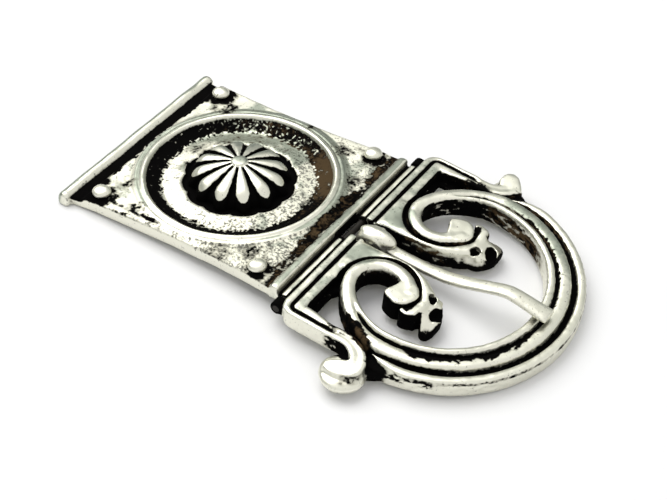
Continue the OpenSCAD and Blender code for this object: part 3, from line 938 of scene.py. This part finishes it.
def frame_and_arm(shells, sizes):
    """The frame's bar and arms with their engraved line, the webs beside them and the shoulder."""
    low = -sizes.thick
    engraved = -0.62
    # outwards from the middle of the bar, height, how much further out on the bar
    section = [(1.15, low, 0), (1.25, low + 0.3, 0), (1.25, -1.0, 0), (1.25, -0.85, 0.35),
               (1.25, -0.35, 0.35), (1.15, -0.1, 0.35), (0.95, 0.0, 0.3), (0.55, 0.02, 0),
               (0.36, -0.06, 0), (0.3, engraved, 0), (-0.18, engraved, 0), (-0.24, -0.06, 0),
               (-0.42, 0.03, 0), (-0.8, 0.05, 0), (-1.1, -0.05, 0), (-1.22, -0.3, 0),
               (-1.25, low + 0.3, 0), (-1.15, low, 0)]

    def place(corner, station):
        w, z, further = corner
        here, out, line, wide, bar = station
        if z == engraved:
            z = -0.02 - 0.6 * line
        elif abs(w) < 0.4 and z > -0.2:
            z = 0.02 - 0.08 * line
        inner = 0.7 * float(smooth(3, 9, here.y) * (1 - smooth(28, 33, here.x))) if w < -0.5 else 0
        spot = here + out * (w * wide + further * bar - inner)
        return Vector((spot.x, spot.y, z))

    shells.sweep(section, frame_line(sizes), place)
    shells.block((25, 2.9, low), (28.1, 21, -2.3))
    shells.block((26, 19.6, low), (34, 21.3, -2.3))
    web = [(25.5, 3), (31, 3), (30.2, 8), (29.0, 12.5), (28.2, 14.2), (27.0, 14.8), (25.5, 14.8)]
    shells.pillow(rounded(web), low, lambda x, y: -1.9)
    cx, cy = sizes.volute_x, sizes.volute_y
    curve = [(cx + 7.1 * math.cos(math.radians(a)), cy + 7.1 * math.sin(math.radians(a)))
             for a in range(158, 250, 10)]
    shells.pillow([(25.8, 13.2), *curve, (31.2, 2.85), (25.8, 2.85)], low, lambda x, y: 0.03, 0.18)


def knob(shells, sizes, big):
    """The curled end of the arm and the bulging foot under it; one side's is bigger."""
    low = -sizes.thick
    if big:
        lobe = [(38.4, 25.5), (36.9, 26.2), (35.7, 27.1), (35.3, 28.0), (35.8, 28.8), (37.2, 29.1),
                (38.8, 28.85), (40.2, 28.2), (41.1, 27.1), (41.35, 25.6), (40.9, 24.3), (39.5, 24.2)]
        at, r, slope = (38.4, 26.9, 0), 3.7, -0.15
    else:
        lobe = [(37.4, 23.4), (36.7, 24.6), (36.4, 25.9), (36.7, 27.2), (37.6, 27.9), (38.8, 27.8),
                (39.7, 27.0), (40.4, 26.0), (41.1, 25.0), (40.7, 24.0), (39.5, 23.6)]
        at, r, slope = (38.3, 25.2, 0), 2.7, 0.07
    shells.pillow(rounded(lobe), low + 0.6, lambda x, y: 0.02 + slope * max(0.0, y - 24.5))
    shells.turn([(0, low), (r - 0.7, low), (r - 0.25, low + 0.28), (r, -2.25), (r - 0.05, -1.95),
                 (r - 0.35, -1.65), (r - 1.0, -1.4), (0, -1.3)], at, count=64)


def corner_lug(shells, plate, sizes):
    """The lug that holds the hinge pin beyond the end of the barrel."""
    radius, inner, outer = 1.15, 20.25, 22.2
    shells.rod(plate.front, -sizes.pin_drop, radius, inner, outer)
    shells.block((plate.front, inner, -3.1), (24.6, outer, -1.25))


def knob_bridge(shells, sizes):
    """The low web between the arm's end and the bow."""
    outline = [(40.2, 20.6), (44, 20.9), (44.2, 23.4), (41.2, 25.6), (39.0, 24.2)]
    shells.sweep(outline, [-sizes.thick, -1.6], lambda spot, z: Vector((*spot, z)))


def loop_patina(mesh, sizes):
    """Black on inner walls, in grooves and between the bands, with brown and bare streaks in it.

    The two sides differ a little: places are given on the left side, and right picks the other."""
    skin = Skin(mesh, reach=2.8, blur=2, rounds=24)
    co, no, inner = skin.co, skin.no, skin.inner
    x, y, z = co.T
    right = y < 0
    left_share, far_share = smooth(-14, -2, y), smooth(2, 17, y)
    y = np.abs(y)
    flat = np.stack([x, y], 1)
    broad, fine = clouds(co, 2.0, 21), clouds(co, 0.55, 22)
    rough = broad * 0.5 + fine * 0.5
    streaks = clouds(co * np.array((0.8, 0.8, 2.2)), 0.8, 24)
    streaks = streaks + 0.6 * clouds(co * np.array((1, 1, 3)), 0.45, 28)
    side = 1 - smooth(0.45, 0.8, np.abs(no[:, 2]))
    k = np.hypot((x - sizes.bow_x) / BOW_SHARE, y)

    # inner walls, and the low flats between the bands
    walls = relaxed(side * inner * (1.0 - 0.45 * smooth(46, 55, x)), skin.ends, 1)
    low_flats = smooth(0.5, 0.9, no[:, 2]) * (1 - smooth(-1.0, -0.45, z)) * (y < 25) * (x > 26.8)
    head = np.hypot(x - 43.6, y - 9.3) < 4
    black = darkest(skin.gathered(1.4, 4), walls, np.where(head & (z > -2.6), 0, low_flats))
    black = np.where(head & (side < 0.5), np.maximum(black * 0.7, 1.6 * skin.depth), black)

    # the teeth, the notch in the arm, a painted shade line under the big knob's lobe, the small knob's underside
    # and the gap behind them
    teeth = near(flat, *TEETH, 1.1, 0.5) * (0.9 + rough) * (side > 0.3)
    notch = near(flat, *NOTCH, 2.4, 1.5) * side * (z < -0.25) * (0.9 + 1.3 * streaks)
    around = np.degrees(np.arctan2(y - 26.2, x - 38.6))
    # painted shade: a soft dark line along the underside of the big knob's lobe
    under = right * band(around, -5, 88, 14) * band(z, -1.6, -0.6, 0.25) * (y > 24.5) * (x > 35)
    under = under * (0.48 + 0.3 * fine)
    gap = near(flat, 41.6, 22.6, 2.7, 0.9) * (1 - smooth(-0.7, -0.25, z))
    foot = ~right * near(flat, 40.2, 24.6, 2.0, 0.8) * (1 - smooth(-1.6, -1.0, z))
    black = darkest(black, teeth, notch, under, gap, foot)

    # rubbed places on the walls, the necks' flanks and the cheeks
    bare = smooth(0.0, 0.35, clouds(co * np.array((0.6, 0.6, 1.6)), 0.9, 29))
    bare = bare * (x < 47) * (1 - 0.85 * right) * ~head * ((y < 19.6) & (x > 31))
    black = np.where(side * inner > 0.4, np.minimum(black, 1 - 0.64 * bare), black)
    flank = side * band(x, 29, 43, 1) * (y < 9.5) * (y > 2.2) * smooth(-1.7, 0.1, z)
    black = black * (1 - flank * (0.5 - 0.5 * rough) * (0.7 + 0.6 * smooth(33, 40, x)))
    inwards = no[:, 1] * np.sign(co[:, 1]) < -0.2
    cheek = side * inwards * near(flat, *CHEEK, 1.8, 0.8) * smooth(-2.7, -1.2, z)
    black = black * (1 - 0.85 * cheek)

    # the head's hollows, the volute's groove and the slits and shoulder beside the knob
    snout = right * near(flat, *SNOUT, 1.15, 0.5) * (0.72 + 0.8 * rough)
    hollow = z < 0.2 - 0.4 * (x - BROW)
    eye, mouth = near(flat, *EYE, 0.95, 0.3) * hollow, near(flat, *MOUTH, 1.4, 0.3) * hollow
    from_x, from_y = x - sizes.volute_x, y - sizes.volute_y
    swirl = np.degrees(np.arctan2(from_y, from_x))
    groove = band(np.hypot(from_x, from_y), 5.76, 6.8, 0.08) * ((swirl < 20) | (swirl > 150)) * (z < 0.6)
    slits = near(flat, 45.3, 25.0, 2.2, 0.8) + near(flat, 49.5, 23.4, 2.6, 1.0)
    slits = slits * side * (z > -1.7) * (0.35 + 1.3 * streaks)
    beside = (y - 18.9 - (x - 33.5) * 0.477) * 0.9
    shoulder = right * band(x, 33.0, 39.6, 1.2) * band(beside, -0.85 + 0.9 * rough, 1.1, 0.25) * 1.2
    corner = near(flat, 34.5, 18.9, 3.6, 1.2) * (1 - smooth(-0.2, 0.55, z + rough * 0.9))
    shoulder = np.maximum(shoulder, corner)
    black = darkest(black, snout, eye, mouth, groove, slits, shoulder * 0.9)
    fade = ~right * side * inner * smooth(46, 56, x) * (k < 18.6)
    black = black * (1 - np.clip(fade * (0.85 - 0.5 * streaks), 0, 1))

    # the bow's groove and rim, and the lugs
    worn = 19.5 + 0.9 * (1 - left_share) + fine * (0.9 - 0.3 * left_share) + broad * 0.4
    worn = worn + clouds(co, 0.3, 30) * 0.3
    bow = (x > 42) * smooth(0, 4, x - 42) * (z > -0.4) * band(k, 18.9, worn, 0.2)
    rim = (x > 40) * band(k, 24.12, 24.5, 0.07) * (z > -0.7) * (0.5 + 0.45 * rough)
    lug = (x < 24.0) * (1 - smooth(-1.1, -0.8, z)) * (y > 19.6)
    black = darkest(black, bow, rim, lug) - 0.2 * smooth(0.2, 0.9, z) * (no[:, 2] > 0.6)
    black = np.where(no[:, 2] < -0.5, BACK_TARNISH, black)

    rusty = ~right * inner * band(x, 39, 54, 3) * (k > 14) * (0.5 + 0.6 * streaks)
    brown = side * (~right * inner * (0.1 + 0.5 * broad) + rusty)
    brown = brown + right * shoulder * (0.4 + 0.6 * broad) + flank * (0.32 + 0.5 * rough)
    # painted reflection: the web, the bow's middle band on the far side and the frame's bar take the darker
    # grey-green silver
    web = near(flat, 28.2, 5.6, 2.8, 1.2) * 0.9
    mid = band(k, 19.5, 21.6, 0.2) * (x > 40) * far_share * 0.7
    bar = (x < 27.7) * (z > -0.7) * (y < 22.5) * 0.5
    keep(mesh, patina=relaxed(black, skin.ends, 1), brown=brown,
         dull=darkest(web, mid, bar) + broad * 0.2,
         pits=np.clip(0.02 + mid * 0.4 + bar * 0.3 + 0.15 * broad, 0.02, 1))


def loop_dents(co, no):
    """Rougher casting on the loop's walls."""
    walls = smooth(2.4, 3.2, np.abs(co[:, 1])) * (np.abs(no[:, 2]) < 0.6) * (co[:, 0] > 27)
    return walls * clouds(co, 0.7, 27) * 0.08


def make_loop(plate, sizes, finish, place, silver):
    shells, cutter = Shells(), Shells()
    scroll_band(shells, sizes)
    volute_end(shells, sizes)
    neck(shells, sizes)
    beast_head(shells, cutter, sizes)
    frame_and_arm(shells, sizes)
    corner_lug(shells, plate, sizes)
    knob_bridge(shells, sizes)
    cutter.mirror()
    shells.mirror()
    right = Shells()
    knob(right, sizes, True)
    bmesh.ops.scale(right.bm, vec=(1, -1, 1), verts=right.bm.verts)
    shells.add(right)
    knob(shells, sizes, False)
    bow_bands(shells, sizes)
    shells.rod(sizes.bar_x, -sizes.bar_drop, sizes.bar_r, -2.8, 2.8)
    obj = melt("buckle_loop_cast", shells, finish.grain, cutter)
    weathered(obj, rounds=4, waves=[(3.0, 25, 0.05), (0.9, 26, 0.03)], highest=0.03,
              triangles=195000, dents=loop_dents)
    loop_patina(obj.data, sizes)
    finished(obj, place, "loop", silver, ["buckle_loop"])


# Tongue

def tongue_shaft(shells, sizes):
    """The dipped shaft, the knee and the widened tip."""
    # along, height of the top, middle line, half width
    rows = [(27.2, 0.4, -0.3, 1.15), (29.2, -0.3, -0.3, 1.15), (31.5, -0.8, -0.28, 1.2),
            (34, -0.8, -0.25, 1.2), (37.5, -0.75, -0.2, 1.22), (41, -0.35, -0.15, 1.28),
            (44, 0.45, -0.1, 1.32), (47.2, 1.68, -0.05, 1.35), (50.5, 2.92, 0, 1.38),
            (52, 3.28, 0, 1.4), (53.5, 3.2, 0, 1.46), (56.0, 2.85, 0, 1.58), (58.4, 2.5, 0, 1.72),
            (58.95, 2.36, 0, 1.7), (59.2, 2.1, 0, 1.6)]
    along, *curves = zip(*rows)
    section = [(math.cos(a), math.sin(a)) for a in steps(0, math.tau, 20)[:-1]]

    def place(corner, x):
        top, middle, half = (float(np.interp(x, along, curve)) for curve in curves)
        across = math.copysign(abs(corner[0]) ** 0.75, corner[0])
        up = math.copysign(abs(corner[1]) ** 0.9, corner[1])
        thick = 1.36 - 0.5 * float(smooth(58.2, 59.2, x))
        return Vector((x, middle + across * half, top - thick / 2 + up * thick / 2))

    shells.sweep(section, steps(27.2, 58.4, 78) + [58.7, 58.95, 59.1, 59.2], place)


def tongue_eye(shells, cutter, sizes):
    """The eye round the bar and the long dome over it."""
    half, middle, bend = sizes.eye_half, -0.3, 1.15
    outline = [(0, -half)]
    outline += [(sizes.eye_r - 1.25 * (1 - math.cos(a)), half * math.sin(a) / math.sin(bend))
                for a in steps(-bend, bend, 10)]
    outline += [(0, half)]
    shells.turn(outline, (sizes.bar_x, middle, -sizes.bar_drop), axis=(0, 1, 0), count=64)
    shells.pebble((sizes.bar_x + 0.6, middle, 0), (3.5, 1.6, 1.4))
    cutter.rod(sizes.bar_x, -sizes.bar_drop, sizes.bar_r + 0.07, -4, 4)


def make_tongue(sizes, place, silver):
    shells, cutter = Shells(), Shells()
    tongue_shaft(shells, sizes)
    tongue_eye(shells, cutter, sizes)
    obj = melt("tongue_cast", shells, TONGUE_GRAIN, cutter)
    weathered(obj, rounds=5, waves=[(2.5, 31, 0.05), (0.8, 32, 0.02)], highest=0.01, triangles=70000)
    skin = Skin(obj.data, reach=2.5, blur=2, rounds=30)
    # painted shade on faces that look down, and painted reflection on faces turned to the far side
    painted_shade_below = (1 - smooth(-0.6, 0.1, skin.no[:, 2])) * 0.42
    keep(obj.data, patina=darkest(skin.gathered(1.8, 4), painted_shade_below), brown=0.0,
         dull=smooth(0.35, 0.8, skin.no[:, 1]) * 0.9 + 0.08, pits=0.15)
    finished(obj, place, "tongue", silver, ["tongue"])


# Materials

class Wire:
    """A node's socket that can be used in sums."""

    def __init__(self, nodes, socket):
        self.nodes = nodes
        self.socket = socket

    def sum(self, operation, first, second):
        return self.nodes.node("ShaderNodeMath", {0: first, 1: second}, operation=operation)

    def __add__(self, other):
        return self.sum("ADD", self, other)

    def __radd__(self, other):
        return self.sum("ADD", other, self)

    def __sub__(self, other):
        return self.sum("SUBTRACT", self, other)

    def __rsub__(self, other):
        return self.sum("SUBTRACT", other, self)

    def __mul__(self, other):
        return self.sum("MULTIPLY", self, other)


class Nodes:
    """Builds a node tree, node by node."""

    def __init__(self, tree):
        self.tree = tree

    def node(self, kind, values=None, out=0, stops=(), **settings):
        """A new node: its settings and a ramp's stops first, then its sockets' values or links."""
        made = self.tree.nodes.new(kind)
        for name, value in settings.items():
            setattr(made, name, value)
        for number, (at, tone) in enumerate(stops):
            tones = made.color_ramp.elements
            stop = tones[number] if number < 2 else tones.new(at)
            stop.position = at
            stop.color = tone
        for key, value in (values or {}).items():
            self.feed(made.inputs[key], value)
        return Wire(self, made.outputs[out])

    def feed(self, socket, value):
        if isinstance(value, Wire):
            self.tree.links.new(value.socket, socket)
        else:
            socket.default_value = value


class Paint(Nodes):
    """A material that is built node by node."""

    def __init__(self, name):
        self.material = bpy.data.materials.new(name)
        self.material.use_nodes = True
        super().__init__(self.material.node_tree)
        self.shader = self.tree.nodes["Principled BSDF"]

    def set(self, **values):
        for name, value in values.items():
            self.feed(self.shader.inputs[name.replace("_", " ")], value)

    def layer(self, name):
        """Numbers that a patina function stored on the mesh."""
        return self.node("ShaderNodeAttribute", out="Fac", attribute_name=name)

    def grain(self, scale, detail, stretch=None):
        """Noise with about so many blobs in a metre."""
        spot = self.node("ShaderNodeTexCoord", out="Object")
        if stretch:
            spot = self.node("ShaderNodeMapping", {"Vector": spot, "Scale": stretch})
        return self.node("ShaderNodeTexNoise", {"Vector": spot, "Scale": scale, "Detail": detail})

    def step(self, low, high, value):
        """Smooth step from 0 at low to 1 at high."""
        return self.node("ShaderNodeMapRange", {"Value": value, "From Min": low, "From Max": high},
                         interpolation_type="SMOOTHSTEP")

    def blend(self, share, first, second):
        """A colour between two; the Mix node's colours are its sockets 6 and 7 and its output 2."""
        return self.node("ShaderNodeMix", {0: share, 6: first, 7: second}, out=2, data_type="RGBA")

    def bump(self, height, strength):
        return self.node("ShaderNodeBump", {"Height": height, "Strength": strength, "Distance": 0.00005})


def rgba(value):
    return (*value, 1.0)


def antique_silver(finish):
    """Silver plate, polished on the high places, with black left in the hollows."""
    paint = Paint("worn_silver")
    blotch, crumb, speck = paint.grain(700, 4), paint.grain(2300, 3), paint.grain(5200, 2)
    pitted, stain = paint.layer("pits"), paint.layer("patina")
    black = paint.step(0.40, 0.62, stain + (blotch - 0.5) * 0.6 + (crumb - 0.5) * 0.6)
    haze = paint.step(0.12, 0.55, stain + (blotch - 0.5) * 0.35)
    pits = paint.step(0.60, 0.74, crumb * 0.6 + speck * 0.2 + blotch * 0.25 + pitted * 0.13)
    dark = paint.node("ShaderNodeMath", {0: black, 1: pits * 0.75}, operation="MAXIMUM")
    # painted reflection: where the stored layer is high the silver turns to its darker grey-green copy
    dull = paint.step(0.25, 0.75, paint.layer("dull") + (blotch - 0.5) * 0.6)
    metal = paint.blend(dull, rgba(finish.silver), rgba(finish.dull))
    metal = paint.blend(haze * 0.6, metal, rgba(finish.haze))
    brown = paint.step(0.35, 0.85, paint.layer("brown") + (crumb - 0.5) * 0.8 + (blotch - 0.5) * 0.8)
    deposit = paint.blend(brown, rgba(finish.patina), rgba(finish.brown))
    bump = paint.bump((crumb * 0.4 + speck * 0.15) * (pitted + 0.05) - dark * 0.3, 0.35)
    paint.set(Base_Color=paint.blend(dark, metal, deposit), Metallic=1.0 - dark,
              Roughness=finish.roughness + pitted * 0.3 + haze * 0.1 + dark * 0.35,
              Specular_IOR_Level=0.02, Normal=bump)
    return paint.material


def blackened_pin():
    """Dark dull steel of the hinge pin."""
    paint = Paint("black_steel")
    turned = paint.grain(3000, 2, (0.15, 3.0, 0.15))
    tone = paint.blend(turned, (0.008, 0.007, 0.007, 1), (0.05, 0.045, 0.04, 1))
    paint.set(Base_Color=tone, Metallic=0.8, Roughness=0.45 + turned * 0.2,
              Normal=paint.bump(turned, 0.3))
    return paint.material


def white_table():
    paint = Paint("white_table")
    cloud = paint.grain(6, 2)
    paint.set(Base_Color=paint.blend(cloud, (0.78, 0.78, 0.80, 1), (0.80, 0.80, 0.815, 1)), Roughness=0.55)
    return paint.material


# Stage

# where the tent is brightest, and its tones from away from there to there
BRIGHTEST = (0.46, -0.31, 0.83)
TENT_TONES = ((0.0, (0.22, 0.24, 0.23, 1)), (0.14, (0.36, 0.39, 0.36, 1)),
              (0.29, (0.82, 0.84, 0.79, 1)), (0.62, (1.0, 1.0, 0.99, 1)))
# azimuth, elevation and roll in degrees, aim and focal length in millimetres, distance in metres
CAMERA_TURN = (30.141, 43.043, 4.548)
CAMERA_AIM = (0.871, -2.596, 0)
CAMERA_LENS = 87.66
CAMERA_DISTANCE = 0.2697


def make_table():
    bm = bmesh.new()
    bmesh.ops.create_grid(bm, x_segments=8, y_segments=8, size=0.9)
    mesh = bpy.data.meshes.new("table")
    bm.to_mesh(mesh)
    bm.free()
    table = linked("table", mesh)
    mesh.materials.append(white_table())


def make_window():
    """One big soft lamp, high up behind the buckle on the left."""
    at = Vector((-0.56, 0.13, 0.80))
    light = bpy.data.lights.new("window", "AREA")
    light.shape = "RECTANGLE"
    light.size = light.size_y = 0.95
    light.energy = 9.0
    light.color = (1.0, 0.99, 0.96)
    lamp = bpy.data.objects.new("window", light)
    lamp.location = at
    lamp.rotation_euler = (-at).to_track_quat("-Z", "Y").to_euler()
    bpy.context.scene.collection.objects.link(lamp)


def make_sky():
    """A light tent: bright overhead and on the near side, greyer low down behind the buckle."""
    world = bpy.data.worlds.new("tent")
    world.use_nodes = True
    bpy.context.scene.world = world
    sky = Nodes(world.node_tree)
    spot = sky.node("ShaderNodeTexCoord", out="Generated")
    height = sky.node("ShaderNodeVectorMath", {0: spot, 1: BRIGHTEST}, out="Value",
                      operation="DOT_PRODUCT")
    background = sky.tree.nodes["Background"].inputs
    sky.feed(background["Color"], sky.node("ShaderNodeValToRGB", {0: height}, stops=TENT_TONES))
    sky.feed(background["Strength"], 0.88)


def make_camera():
    azimuth, elevation, roll = (math.radians(v) for v in CAMERA_TURN)
    back = Vector((math.sin(azimuth) * math.cos(elevation), -math.cos(azimuth) * math.cos(elevation),
                   math.sin(elevation)))
    right = Vector((math.cos(azimuth), math.sin(azimuth), 0))
    up = back.cross(right)
    across = right * math.cos(roll) + up * math.sin(roll)
    above = up * math.cos(roll) - right * math.sin(roll)
    data = bpy.data.cameras.new("camera")
    data.sensor_width = 36
    data.lens = CAMERA_LENS
    data.clip_start = 0.01
    camera = bpy.data.objects.new("camera", data)
    camera.matrix_world = (Matrix.Translation(Vector(CAMERA_AIM) * MM + back * CAMERA_DISTANCE)
                           @ Matrix((across, above, back)).transposed().to_4x4())
    bpy.context.scene.collection.objects.link(camera)
    bpy.context.scene.camera = camera


# Operators

class BUCKLE_OT_plate(bpy.types.Operator):
    """Cast the belt plate with its ring, dish, rib and hinge barrel"""
    bl_idname = "buckle.plate"
    bl_label = "Belt Plate"

    def execute(self, context):
        sizes, finish = context.scene.buckle_plate, context.scene.buckle_finish
        make_plate(sizes, finish, on_plate(sizes), silver())
        return {"FINISHED"}


class BUCKLE_OT_rosette(bpy.types.Operator):
    """Cast the rosette of petals in the plate's dish"""
    bl_idname = "buckle.rosette"
    bl_label = "Rosette"

    def execute(self, context):
        sizes = context.scene.buckle_plate
        make_rosette(sizes, on_plate(sizes), silver())
        return {"FINISHED"}


class BUCKLE_OT_rivets(bpy.types.Operator):
    """Set the four rivets"""
    bl_idname = "buckle.rivets"
    bl_label = "Rivets"

    def execute(self, context):
        sizes = context.scene.buckle_plate
        for seed, (name, spot) in enumerate(RIVET_SPOTS.items(), 41):
            make_rivet("rivet_" + name, spot, seed, sizes, on_plate(sizes), silver())
        return {"FINISHED"}


class BUCKLE_OT_loop(bpy.types.Operator):
    """Cast the loop with its bow, scrolls, beast heads, frame and knobs"""
    bl_idname = "buckle.loop"
    bl_label = "Buckle Loop"

    def execute(self, context):
        scene = context.scene
        make_loop(scene.buckle_plate, scene.buckle_loop, scene.buckle_finish,
                  on_loop(scene.buckle_plate, scene.buckle_loop), silver())
        return {"FINISHED"}


class BUCKLE_OT_tongue(bpy.types.Operator):
    """Forge the tongue with its eye, knee and tip"""
    bl_idname = "buckle.tongue"
    bl_label = "Tongue"

    def execute(self, context):
        scene = context.scene
        make_tongue(scene.buckle_loop, on_loop(scene.buckle_plate, scene.buckle_loop), silver())
        return {"FINISHED"}


class BUCKLE_OT_pin(bpy.types.Operator):
    """Blacken the hinge pin"""
    bl_idname = "buckle.pin"
    bl_label = "Hinge Pin"

    def execute(self, context):
        pin = frame["nodes"]["hinge_pin"]
        pin.data.materials.clear()
        pin.data.materials.append(blackened_pin())
        return {"FINISHED"}


class BUCKLE_OT_stage(bpy.types.Operator):
    """Set the white table, the light tent and the camera"""
    bl_idname = "buckle.stage"
    bl_label = "Stage"

    def execute(self, context):
        make_table()
        make_sky()
        make_window()
        make_camera()
        context.scene.view_settings.view_transform = "Standard"
        return {"FINISHED"}


class BUCKLE_PT_panel(bpy.types.Panel):
    """Lists the buckle's pieces"""
    bl_idname = "BUCKLE_PT_panel"
    bl_label = "Scroll Belt Buckle"
    bl_space_type = "VIEW_3D"
    bl_region_type = "UI"
    bl_category = "Buckle"

    def draw(self, context):
        for operator in OPERATORS:
            self.layout.operator(operator.bl_idname)
        for group in (context.scene.buckle_plate, context.scene.buckle_loop, context.scene.buckle_finish):
            box = self.layout.box()
            for name in group.__annotations__:
                box.prop(group, name)


OPERATORS = (BUCKLE_OT_stage, BUCKLE_OT_plate, BUCKLE_OT_rosette, BUCKLE_OT_rivets, BUCKLE_OT_loop,
             BUCKLE_OT_tongue, BUCKLE_OT_pin)
CLASSES = (PlateSizes, LoopSizes, Finish, *OPERATORS, BUCKLE_PT_panel)


def silver():
    """The castings' material, made when it is first asked for."""
    return bpy.data.materials.get("worn_silver") or antique_silver(bpy.context.scene.buckle_finish)


def register():
    for cls in CLASSES:
        bpy.utils.register_class(cls)
    bpy.types.Scene.buckle_plate = PointerProperty(type=PlateSizes)
    bpy.types.Scene.buckle_loop = PointerProperty(type=LoopSizes)
    bpy.types.Scene.buckle_finish = PointerProperty(type=Finish)


def unregister():
    del bpy.types.Scene.buckle_finish
    del bpy.types.Scene.buckle_loop
    del bpy.types.Scene.buckle_plate
    for cls in reversed(CLASSES):
        bpy.utils.unregister_class(cls)


def main():
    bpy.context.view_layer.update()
    register()
    bpy.ops.buckle.stage()
    bpy.ops.buckle.plate()
    bpy.ops.buckle.rosette()
    bpy.ops.buckle.rivets()
    bpy.ops.buckle.loop()
    bpy.ops.buckle.tongue()
    bpy.ops.buckle.pin()


if __name__ == "__main__":
    main()
